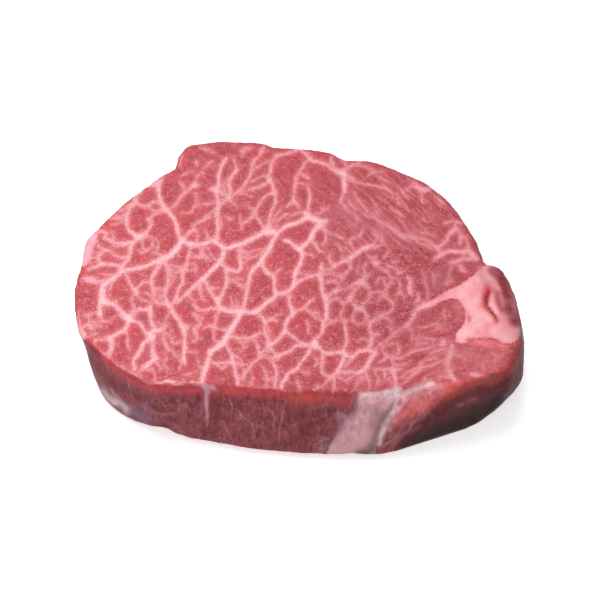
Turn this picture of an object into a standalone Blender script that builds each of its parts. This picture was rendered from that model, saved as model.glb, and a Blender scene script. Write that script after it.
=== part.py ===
"""A raw sirloin steak, thick cut, lying on its flat underside.

The steak is one piece of meat, so it is one solid. Two hand-drawn outlines carry its form: the
rim, where the cut face ends, and the foot, where it meets the board. The wall runs between them,
rounded at both ends, with a small nick in its foot. One straight knife cut trims the right of the
front, and a short slit opens the lump of fat at the right end. Lengths are in millimetres until
the mesh is made.
"""

import math

import bmesh
import bpy
import numpy as np
from mathutils import Vector, noise

MM = 0.001

# Driving dimensions
THICKNESS = 29.0
FOOT_ROUNDING = 3.0
OUTLINE_CENTRE = (-1.5, 3.3)
# Moves the outlines so that the origin is under the middle of the steak's box.
OUTLINE_SHIFT = (0.5, -0.2)

# The rim of the cut face, clockwise from the left end. The steak's length runs along X, and the
# viewer's side is at -Y. The pairs that lie close together are the step at the back left and the
# shoulder of the fat lump at the right.
RIM = [
    (-80.5, -24.0), (-82.0, -11.5), (-80.5, 2.0), (-79.5, 10.5), (-76.0, 19.0), (-68.5, 30.5),
    (-61.0, 39.0), (-53.5, 47.0), (-48.5, 51.0), (-47.5, 57.5), (-43.5, 62.5), (-34.0, 65.5),
    (-24.0, 65.5), (-15.0, 65.0), (-10.0, 62.5), (0.0, 62.0), (11.5, 59.7), (18.0, 55.5),
    (27.5, 55.0), (37.0, 50.3), (48.5, 43.0), (57.3, 32.5), (63.9, 19.3), (67.0, 9.5),
    (68.2, 2.5), (71.3, -0.3), (74.7, -2.6), (77.3, -8.7), (78.9, -17.0), (79.5, -25.0),
    (79.5, -33.0), (78.2, -39.0), (75.5, -44.0), (72.0, -49.0), (64.5, -53.0), (54.0, -55.5),
    (34.5, -56.5), (20.5, -58.5), (0.0, -57.5), (-21.0, -56.0), (-36.0, -55.0), (-51.0, -54.5),
    (-63.0, -48.0), (-71.0, -41.0), (-77.0, -33.5),
]

# The foot, clockwise from the left end. It spreads towards the viewer and tucks in at both ends.
FOOT = [
    (-76.0, -18.0), (-77.0, -6.0), (-75.5, 6.0), (-71.5, 18.0), (-63.0, 31.0), (-52.0, 43.5),
    (-45.0, 54.0), (-38.0, 61.0), (-24.0, 63.0), (-8.0, 61.0), (10.0, 57.0), (27.0, 52.0),
    (44.0, 42.0), (56.0, 27.0), (64.0, 9.0), (70.0, -4.0), (75.0, -16.0), (77.0, -27.0),
    (76.0, -36.0), (72.5, -44.5), (65.0, -51.5), (56.0, -62.0), (40.0, -65.5), (22.0, -65.0),
    (8.0, -65.3), (-14.0, -63.3), (-36.0, -59.0), (-50.0, -54.5), (-63.0, -49.0), (-70.3, -42.7),
    (-74.0, -35.3), (-75.0, -28.0),
]

# The corner between the cut face and the wall is crisp in front and rolled over elsewhere. Each
# pair is a direction in degrees round the outline's centre and the corner's radius there.
RIM_ROUNDING = [(-180, 1.6), (-150, 1.4), (-60, 1.4), (-42, 1.8), (-32, 4.5), (-8, 4.5), (8, 3.0),
                (30, 2.2), (120, 2.2), (160, 1.8), (180, 1.6)]
# How far the wall swells out between rim and foot, by direction.
BELLY = [(-180, 0.0), (-150, 0.4), (-120, 0.6), (-60, 0.8), (-36, 1.6), (-20, 2.9), (-8, 3.2),
         (20, 1.5), (90, 1.0), (150, 0.5), (180, 0.0)]

# The straight upright cut that trims the front right corner: where its left end meets the foot,
# and how far it turns from the X axis, in degrees. The cutter is larger than what it takes off.
TRIM_POINT = (30.0, -64.5)
TRIM_TURN = 21.0
TRIM_SIZE = 60.0

# A nick in the foot at the front left: its direction in degrees, its half width there, how deep
# it goes in and how high it reaches
NICK_DIRECTION = -129.5
NICK_HALF_WIDTH = 1.6
NICK_DEPTH = 2.5
NICK_HEIGHT = 5.0

# Slow waves of the cut face and of the wall: half their height and their length
FACE_WAVE = (0.5, 34.0)
WALL_WAVE = (0.5, 15.0)

# The slit in the fat lump: its middle, length, width, depth and turn from the X axis in degrees
SLIT_MIDDLE = (69.0, -19.8)
SLIT_LENGTH = 13.0
SLIT_WIDTH = 1.5
SLIT_DEPTH = 3.5
SLIT_TURN = -80.0
SLIT_BEND = -1.5

# Mesh fineness
GRID = 40
CORNER_ROWS = 3
WALL_ROWS = 5
SPLINE_STEPS = 12


def closed_curve(points):
    """A smooth closed Catmull-Rom curve through the points, as a dense array of x and y."""
    p = np.array(points, float)
    before, after, beyond = np.roll(p, 1, 0), np.roll(p, -1, 0), np.roll(p, -2, 0)
    t = (np.arange(SPLINE_STEPS) / SPLINE_STEPS)[None, :, None]
    a, b, c, d = (q[:, None, :] for q in (before, p, after, beyond))
    curve = 0.5 * (2 * b + (c - a) * t + (2 * a - 5 * b + 4 * c - d) * t**2
                   + (3 * b - a - 3 * c + d) * t**3)
    return curve.reshape(-1, 2)


class Outline:
    """A closed outline, read as the distance from the outline's centre in any direction."""

    def __init__(self, points):
        offset = closed_curve(points) - np.array(OUTLINE_CENTRE)
        angle = np.arctan2(offset[:, 1], offset[:, 0])
        order = np.argsort(angle)
        self.angle = angle[order]
        self.reach = np.hypot(offset[:, 0], offset[:, 1])[order]

    def __call__(self, angle):
        return float(np.interp(angle, self.angle, self.reach, period=2 * math.pi))


def by_direction(pairs, angle):
    """The value that the list of (degrees, value) pairs gives for a direction in radians."""
    degrees, values = zip(*pairs)
    return float(np.interp(math.degrees(angle), degrees, values))


def disc_polar(u, v):
    """A point of the square from -1 to 1, moved onto the unit disc: its distance and direction."""
    if u == 0 and v == 0:
        return 0.0, 0.0
    if abs(u) > abs(v):
        distance, turn = u, math.pi / 4 * v / u
    else:
        distance, turn = v, math.pi / 2 - math.pi / 4 * u / v
    return abs(distance), math.atan2(distance * math.sin(turn), distance * math.cos(turn))


def square_edge(n):
    """The grid indices round the edge of an n by n square, in order."""
    return ([(i, 0) for i in range(n)] + [(n, j) for j in range(n)]
            + [(n - i, n) for i in range(n)] + [(0, n - j) for j in range(n)])


def place(angle, reach, height):
    """A point of the steak in millimetres, from its direction, reach and height."""
    x = OUTLINE_CENTRE[0] + OUTLINE_SHIFT[0] + reach * math.cos(angle)
    y = OUTLINE_CENTRE[1] + OUTLINE_SHIFT[1] + reach * math.sin(angle)
    return Vector((x, y, height))


def face_height(point):
    """The height of the cut face over a point, with its slow waves."""
    height, length = FACE_WAVE
    return THICKNESS + height * noise.noise(Vector((point.x, point.y, 0)) / length)


def wall_wave(point):
    """How far the wall stands out at a point, fading to nothing at the foot and the rim."""
    height, length = WALL_WAVE
    level = min(max(point.z / THICKNESS, 0.0), 1.0)
    return height * noise.noise(point / length) * math.sin(math.pi * level)


def nick(angle, height):
    """How far the nick takes the foot in, in a direction and at a height."""
    across = (math.degrees(angle) - NICK_DIRECTION) / NICK_HALF_WIDTH
    return NICK_DEPTH * math.exp(-across**2) * max(0.0, 1 - height / NICK_HEIGHT)


def wall_profile(angle, rim, foot):
    """The wall's (reach, height) pairs in one direction, from the cut face to the underside."""
    corner, belly = by_direction(RIM_ROUNDING, angle), by_direction(BELLY, angle)
    top, bottom = rim(angle), foot(angle)
    rows = []
    for k in range(1, CORNER_ROWS + 1):
        turn = math.pi / 2 * k / CORNER_ROWS
        rows.append((top - corner * (1 - math.sin(turn)), THICKNESS - corner * (1 - math.cos(turn))))
    for k in range(1, WALL_ROWS + 1):
        share = k / (WALL_ROWS + 1)
        level = (THICKNESS - corner) + share * (FOOT_ROUNDING - THICKNESS + corner)
        rows.append((top + share * (bottom - top) + belly * 4 * share * (1 - share), level))
    for k in range(CORNER_ROWS + 1):
        turn = math.pi / 2 * k / CORNER_ROWS
        rows.append((bottom - FOOT_ROUNDING * (1 - math.cos(turn)),
                     FOOT_ROUNDING * (1 - math.sin(turn))))
    return rows


def make_face(bm, rim):
    """The cut face as a square grid laid onto the outline. Returns its edge, in order."""
    grid = {}
    for i in range(GRID + 1):
        for j in range(GRID + 1):
            distance, angle = disc_polar(2 * i / GRID - 1, 2 * j / GRID - 1)
            reach = distance * (rim(angle) - by_direction(RIM_ROUNDING, angle))
            point = place(angle, reach, THICKNESS)
            # The face's waves die out at the rim, where the wall takes over.
            point.z += (face_height(point) - THICKNESS) * (1 - distance**8)
            grid[i, j] = bm.verts.new(point * MM)
    for i in range(GRID):
        for j in range(GRID):
            bm.faces.new([grid[i, j], grid[i + 1, j], grid[i + 1, j + 1], grid[i, j + 1]])
    return [grid[k] for k in square_edge(GRID)]


def make_wall(bm, edge, rim, foot):
    """The wall from the edge of the cut face down to the flat underside, which closes the solid."""
    columns = []
    for i, j in square_edge(GRID):
        angle = disc_polar(2 * i / GRID - 1, 2 * j / GRID - 1)[1]
        column = []
        for reach, height in wall_profile(angle, rim, foot):
            reach += wall_wave(place(angle, reach, height)) - nick(angle, height)
            column.append(bm.verts.new(place(angle, reach, height) * MM))
        columns.append(column)
    for k, column in enumerate(columns):
        after = (k + 1) % len(columns)
        bm.faces.new([edge[k], edge[after], columns[after][0], column[0]])
        for a, b in zip(range(len(column)), range(1, len(column))):
            bm.faces.new([column[a], columns[after][a], columns[after][b], column[b]])
    bm.faces.new([column[-1] for column in columns])


def meat_material():
    """Raw beef: a moist, slightly translucent red."""
    material = bpy.data.materials.new("raw_beef")
    material.use_nodes = True
    shader = material.node_tree.nodes["Principled BSDF"]
    shader.inputs["Base Color"].default_value = (0.55, 0.13, 0.13, 1)
    shader.inputs["Roughness"].default_value = 0.4
    shader.inputs["Metallic"].default_value = 0.0
    return material


def new_object(name, bm):
    bmesh.ops.recalc_face_normals(bm, faces=bm.faces)
    mesh = bpy.data.meshes.new(name)
    bm.to_mesh(mesh)
    bm.free()
    obj = bpy.data.objects.new(name, mesh)
    bpy.context.scene.collection.objects.link(obj)
    return obj


def hide_cutter(cutter):
    cutter.hide_render = True
    cutter.display_type = "WIRE"
    return cutter


def make_trim_cutter():
    """A block whose near face is the straight cut of the front right corner."""
    turn = math.radians(TRIM_TURN)
    bm = bmesh.new()
    bmesh.ops.create_cube(bm, size=1.0)
    cutter = new_object("trim_cutter", bm)
    cutter.scale = (TRIM_SIZE * 2 * MM, TRIM_SIZE * MM, TRIM_SIZE * 2 * MM)
    cutter.rotation_euler = (0, 0, turn)
    x = TRIM_POINT[0] + OUTLINE_SHIFT[0] + math.sin(turn) * TRIM_SIZE / 2
    y = TRIM_POINT[1] + OUTLINE_SHIFT[1] - math.cos(turn) * TRIM_SIZE / 2
    cutter.location = (x * MM, y * MM, 0)
    return hide_cutter(cutter)


def make_slit_cutter():
    """A narrow boat shape, bent a little, whose keel gives the slit its depth."""
    stations, rise = 8, 4.0
    turn = math.radians(SLIT_TURN)
    bm = bmesh.new()

    def at(along, across, height):
        x = SLIT_MIDDLE[0] + OUTLINE_SHIFT[0] + along * math.cos(turn) - across * math.sin(turn)
        y = SLIT_MIDDLE[1] + OUTLINE_SHIFT[1] + along * math.sin(turn) + across * math.cos(turn)
        return bm.verts.new(Vector((x, y, height)) * MM)

    sections = []
    for k in range(1, stations):
        along = (k / stations - 0.5) * SLIT_LENGTH
        fullness = math.sin(math.pi * k / stations)
        bend = SLIT_BEND * math.cos(math.pi * (k / stations - 0.5))
        half = SLIT_WIDTH / 2 * fullness
        sections.append([at(along, bend - half, THICKNESS + rise),
                         at(along, bend + half, THICKNESS + rise),
                         at(along, bend + half * 0.8, THICKNESS),
                         at(along, bend, THICKNESS - SLIT_DEPTH * fullness),
                         at(along, bend - half * 0.8, THICKNESS)])
    for before, after in zip(sections, sections[1:]):
        for a in range(len(before)):
            b = (a + 1) % len(before)
            bm.faces.new([before[a], before[b], after[b], after[a]])
    bm.faces.new(sections[0])
    bm.faces.new(sections[-1])
    return hide_cutter(new_object("slit_cutter", bm))


def make_steak():
    rim, foot = Outline(RIM), Outline(FOOT)
    bm = bmesh.new()
    edge = make_face(bm, rim)
    make_wall(bm, edge, rim, foot)
    steak = new_object("steak", bm)
    steak.data.materials.append(meat_material())
    steak.data.shade_smooth()
    for cutter in (make_trim_cutter(), make_slit_cutter()):
        cut = steak.modifiers.new(cutter.name, "BOOLEAN")
        cut.operation = "DIFFERENCE"
        cut.solver = "EXACT"
        cut.object = cutter
    return steak


def main():
    for obj in list(bpy.data.objects):
        bpy.data.objects.remove(obj)
    make_steak()


main()
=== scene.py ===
# %% [markdown]
# # A raw sirloin steak
# One thick slice of raw beef lies flat on its lower cut face. The slice shows its whole story on
# the outside: pale fat runs through red lean in a branching net, a lump of solid fat sits at the
# right end, and the wall all round is darker and stringy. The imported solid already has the
# outline, the trimmed corner and the slit, so this script adds the fine surface around it.

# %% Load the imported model
import math

import bpy
import numpy as np
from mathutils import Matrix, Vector, noise
from mathutils.bvhtree import BVHTree


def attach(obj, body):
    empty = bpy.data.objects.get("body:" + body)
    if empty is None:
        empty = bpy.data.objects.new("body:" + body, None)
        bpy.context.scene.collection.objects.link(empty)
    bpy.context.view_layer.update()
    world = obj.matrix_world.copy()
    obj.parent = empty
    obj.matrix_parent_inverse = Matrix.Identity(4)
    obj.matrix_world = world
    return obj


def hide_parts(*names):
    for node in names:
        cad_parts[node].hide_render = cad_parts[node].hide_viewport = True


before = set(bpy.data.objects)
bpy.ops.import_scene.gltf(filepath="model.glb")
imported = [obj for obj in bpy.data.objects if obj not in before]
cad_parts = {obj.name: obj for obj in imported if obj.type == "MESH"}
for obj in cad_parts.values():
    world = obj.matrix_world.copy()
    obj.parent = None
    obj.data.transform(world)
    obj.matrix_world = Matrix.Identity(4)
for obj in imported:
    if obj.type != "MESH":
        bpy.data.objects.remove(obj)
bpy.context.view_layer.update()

MM = 0.001

# %% [markdown]
# ## The camera, and a sheet of drawing paper
# Food is usually shot from about 50 degrees up with a long lens, which keeps the slice's outline
# true. The camera comes first because it is also the drawing paper: a point of the surface and a
# point of the 600 by 600 picture belong together, so seams of fat can be drawn in the picture's
# own coordinates and found again on the meat.

# %% The camera
PICTURE = 600
LENS, SENSOR = 100.0, 36.0
AIM = np.array([0.5, -16.7, 29.0])
ELEVATION = math.radians(50)
DISTANCE = 602.0

towards_camera = np.array([0.0, -math.cos(ELEVATION), math.sin(ELEVATION)])
picture_up = np.array([0.0, math.sin(ELEVATION), math.cos(ELEVATION)])
eye = AIM + DISTANCE * towards_camera

camera = bpy.data.objects.new("camera", bpy.data.cameras.new("camera"))
camera.data.lens = LENS
camera.data.sensor_width = SENSOR
camera.location = Vector(eye * MM)
camera.rotation_euler = (math.pi / 2 - ELEVATION, 0, 0)
bpy.context.scene.collection.objects.link(camera)
bpy.context.scene.camera = camera


def drawn_at(points):
    """Where points in millimetres appear in the picture, in its pixels from the top left."""
    away = points - eye
    depth = -(away @ towards_camera)
    focal = PICTURE * LENS / SENSOR
    return np.stack([PICTURE / 2 + focal * away[:, 0] / depth,
                     PICTURE / 2 - focal * (away @ picture_up) / depth], axis=1)


# One pixel of the picture on the cut face, in millimetres
PIXEL = DISTANCE * SENSOR / LENS / PICTURE
print("one pixel covers", round(PIXEL, 3), "mm of the cut face")

# %% [markdown]
# ## The fine skin of the slice
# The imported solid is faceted, with points about 4 mm apart. Marbling needs points about 0.6 mm
# apart. A voxel remesh would do it, but it lays its grid across the rim. Here the skin is laid
# out like a fitted sheet instead: a square grid is pressed onto the cut face, rings run down the
# wall from its edge, and a coarser grid closes the underside. Each point is found by shooting a
# ray at the solid, so the skin keeps the solid's form.

# %% Lay out the points of the skin
# Lengths are in millimetres from here on. The wall runs from HIGH down to LOW, and the rounded
# corners above and below it turn about pivots that lie inside the outline.
CENTRE = np.array([-1.0, 3.1])
TOP, HIGH, LOW = 29.0, 23.0, 4.0
HIGH_INSET, LOW_INSET = 6.0, 4.0
FACE_GRID = 216
CORNER_ROWS, WALL_ROWS, FOOT_ROWS = 13, 28, 6
# Rays start this far from a pivot, above the cut face, and from the middle of the slice.
RAY_START, RAY_ABOVE, RAY_BEYOND = 30.0, 20.0, 80.0

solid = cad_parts["steak"].data
solid_tree = BVHTree.FromPolygons([tuple(v.co / MM) for v in solid.vertices],
                                  [tuple(p.vertices) for p in solid.polygons])


def onto_disc(n):
    """An n by n grid pressed onto a disc: each point's share of the reach, and its direction."""
    side = np.linspace(-1, 1, n + 1)
    u, v = np.meshgrid(side, side, indexing="ij")
    wide = np.abs(u) > np.abs(v)
    share = np.where(wide, u, v)
    turn = np.where(wide, np.pi / 4 * v / np.where(wide, u, 1),
                    np.pi / 2 - np.pi / 4 * u / np.where(wide | (v == 0), 1, v))
    return np.abs(share), np.arctan2(share * np.sin(turn), share * np.cos(turn))


def square_edge(n):
    """The indices round the edge of the grid, in order."""
    return ([(i, 0) for i in range(n)] + [(n, j) for j in range(n)]
            + [(n - i, n) for i in range(n)] + [(0, n - j) for j in range(n)])


def shot(start, aim):
    """Where a ray from start first meets the solid."""
    found = solid_tree.ray_cast(Vector(start), Vector(aim))[0]
    return np.array(found) if found else np.array(start) + aim


def beside(angle, reach, height):
    """The point at an angle and a reach from the centre, at a height."""
    return np.array([CENTRE[0] + reach * math.cos(angle), CENTRE[1] + reach * math.sin(angle),
                     height])


def skin_point(angle, reach, height, slope):
    """The solid's surface as seen from a pivot inside it, at a slope above the horizon."""
    pivot = beside(angle, reach, height)
    out = beside(angle, math.cos(slope), math.sin(slope)) - beside(angle, 0, 0)
    return shot(pivot + RAY_START * out, -out)


def reach_at(angle, height):
    """How far out the wall stands at a height."""
    return math.hypot(*(skin_point(angle, RAY_BEYOND, height, 0)[:2] - CENTRE))


print("rays are shot at", len(solid.polygons), "faces of the solid")

# %% Build the skin
_, face_angle = onto_disc(FACE_GRID)
edge = square_edge(FACE_GRID)
angles = np.array([face_angle[k] for k in edge])
high_reach = np.array([reach_at(a, HIGH) for a in angles])
low_reach = np.array([reach_at(a, LOW) for a in angles])
points, faces = [], []


def reach_towards(angle, reach):
    """The reach at any angle, from the reach at each point of the grid's edge."""
    order = np.argsort(angles)
    return np.interp(angle, angles[order], reach[order], period=2 * np.pi)


def add_grid(n, reach, height, flip):
    """A grid over a cut face. Returns the point numbers round its edge."""
    share, angle = onto_disc(n)
    far = share * reach_towards(angle, reach)
    first = len(points)
    for a, r in zip(angle.ravel(), far.ravel()):
        spot = beside(a, r, height)
        points.append(shot(spot + [0, 0, RAY_ABOVE], np.array([0, 0, -1.0])) if height else spot)
    number = first + np.arange((n + 1) ** 2).reshape(n + 1, n + 1)
    quads = np.stack([number[:-1, :-1], number[1:, :-1], number[1:, 1:], number[:-1, 1:]], -1)
    quads = quads.reshape(-1, 4)
    faces.extend((quads[:, ::-1] if flip else quads).tolist())
    return [number[k] for k in square_edge(n)]


def add_ring(pivots, step=1):
    """One ring round the wall from (reach, height, slope) pivots. Returns its point numbers."""
    ring = []
    for a, (reach, height, slope) in list(zip(angles, pivots))[::step]:
        ring.append(len(points))
        points.append(skin_point(a, reach, height, slope))
    return ring


def join_rings(upper, lower):
    """Faces between two rings, the lower with as many points or with half of them."""
    n, half = len(lower), len(upper) // len(lower)
    for k in range(n):
        after = (k + 1) % n
        if half == 1:
            faces.append([upper[k], lower[k], lower[after], upper[after]])
        else:
            a, b, c = upper[2 * k], upper[2 * k + 1], upper[(2 * k + 2) % len(upper)]
            faces.append([a, lower[k], b])
            faces.append([b, lower[k], lower[after], c])


ring = add_grid(FACE_GRID, high_reach - HIGH_INSET, TOP, flip=False)
for k in range(1, CORNER_ROWS):
    slope = math.pi / 2 * (1 - k / (CORNER_ROWS - 1))
    ring, above = add_ring([(r - HIGH_INSET, HIGH, slope) for r in high_reach]), ring
    join_rings(above, ring)
for k in range(1, WALL_ROWS):
    height = HIGH + (LOW - HIGH) * k / WALL_ROWS
    ring, above = add_ring([(r - HIGH_INSET, height, 0) for r in high_reach]), ring
    join_rings(above, ring)
for k in range(FOOT_ROWS):
    slope = -math.pi / 2 * k / FOOT_ROWS
    ring, above = add_ring([(r - LOW_INSET, LOW, slope) for r in low_reach], step=2), ring
    join_rings(above, ring)
join_rings(ring, add_grid(FACE_GRID // 2, low_reach - LOW_INSET, 0.0, flip=True))

mesh = bpy.data.meshes.new("steak_meat")
mesh.from_pydata([tuple(p) for p in points], [], faces)
steak = bpy.data.objects.new("steak_meat", mesh)
bpy.context.scene.collection.objects.link(steak)
print("skin:", len(points), "points,", sum(len(f) - 2 for f in faces), "triangles")

# %% [markdown]
# ## Soft flesh has no facets
# The solid's flat facets still show in the skin. Meat is soft and moist, so its corners are
# rounded and its faces flow. Moving every point towards the middle of its neighbours takes the
# facets away, but it also shrinks the slice, so each such step is followed by one that moves the
# points back out by a little more. The slit is filled in first and cut again later, because it
# is narrower than the facets. The underside stays flat.

# %% Smooth the skin
ROUNDS, INWARD, OUTWARD = 9, 0.5, -0.52
SUNK_BELOW, FILLED_TO, RESTING_BELOW = 28.2, 28.9, 0.05

where = np.array(points)
on_face = np.arange(len(where)) < (FACE_GRID + 1) ** 2
sunk = on_face & (where[:, 2] < SUNK_BELOW)
where[sunk, 2] = FILLED_TO

pairs = np.array([e.vertices[:] for e in mesh.edges])
both = np.concatenate([pairs, pairs[:, ::-1]])
neighbours = np.bincount(both[:, 0], minlength=len(where))
resting = where[:, 2] < RESTING_BELOW


def spread(values):
    """The mean of each point's neighbours."""
    total = np.stack([np.bincount(both[:, 0], weights=values[both[:, 1], k], minlength=len(values))
                      for k in range(values.shape[1])], axis=1)
    return total / neighbours[:, None]


for _ in range(ROUNDS):
    for pull in (INWARD, OUTWARD):
        where = where + pull * (spread(where) - where)
        where[resting, 2] = 0


def outward(positions):
    """The skin's direction at each point."""
    mesh.vertices.foreach_set("co", (positions * MM).ravel())
    mesh.update()
    found = np.empty(len(positions) * 3, np.float32)
    mesh.vertices.foreach_get("normal", found)
    return found.reshape(-1, 3).astype(float)


normal = outward(where)
print("points filled in at the slit:", int(sunk.sum()))

# %% [markdown]
# ## Each point finds its place on the drawing
# The cut face and the front wall are drawn as the picture shows them. Fat runs through a slice
# from side to side, so the hidden faces follow from the same drawing: the underside takes what
# lies above it, moved a little, and the back wall takes what lies inside its rim, as if the
# drawing were folded down over the edge.

# %% Put the points on the paper
UNDERSIDE_SHIFT = np.array([5.0, -3.0, 0.0])
UNDERSIDE_SWAY, UNDERSIDE_WAVE = 3.0, 22.0
# Normals that point this far up or down belong to the wall, to a cut face and to the underside.
UPRIGHT, LEVEL, FACES_DOWN = 0.55, 0.93, -0.85
# A point is seen if it faces the camera by more than this.
GRAZING = 0.04
# A hidden wall point takes what lies this far inside the rim, and more for each step down.
INSIDE_RIM, FOLD = 2.5, 0.75
SWAY, SWAY_WAVES = 3.0, (9, 9, 12)


def smooth_step(low, high, value):
    """From 0 at low to 1 at high, with soft ends. Low may be the larger."""
    t = np.clip((value - low) / (high - low), 0, 1)
    return t * t * (3 - 2 * t)


def ripple(positions, length, seed=0):
    """Smooth noise from -1 to 1 whose waves have the given length in millimetres, or one each
    way along X, Y and Z."""
    scaled = positions / np.array(length) + seed * 17.3
    return np.array([noise.noise(Vector(p)) for p in scaled])


wall = 1 - smooth_step(UPRIGHT, LEVEL, np.abs(normal[:, 2]))
under = normal[:, 2] < FACES_DOWN
facing = normal @ towards_camera
seen = (facing > GRAZING) & ~under
direction = np.arctan2(where[:, 1] - CENTRE[1], where[:, 0] - CENTRE[0])

carried = where.copy()
sideways = SWAY * ripple(where, SWAY_WAVES, 1)
folded = np.clip(TOP - where[:, 2], 0, TOP)
rim_reach = reach_towards(direction, high_reach) - INSIDE_RIM - FOLD * folded
carried[:, 0] = np.where(under, where[:, 0], CENTRE[0] + rim_reach * np.cos(direction)
                         - sideways * np.sin(direction))
carried[:, 1] = np.where(under, where[:, 1], CENTRE[1] + rim_reach * np.sin(direction)
                         + sideways * np.cos(direction))
carried += np.where(under, 1, 0)[:, None] * UNDERSIDE_SHIFT
for axis, seed in ((0, 2), (1, 3)):
    carried[under, axis] += UNDERSIDE_SWAY * ripple(where[under], UNDERSIDE_WAVE, seed)
carried[:, 2] = TOP
paper = drawn_at(np.where(seen[:, None], where, carried))
print("points drawn as seen:", int(seen.sum()), "and carried through:", int((~seen).sum()))
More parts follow.
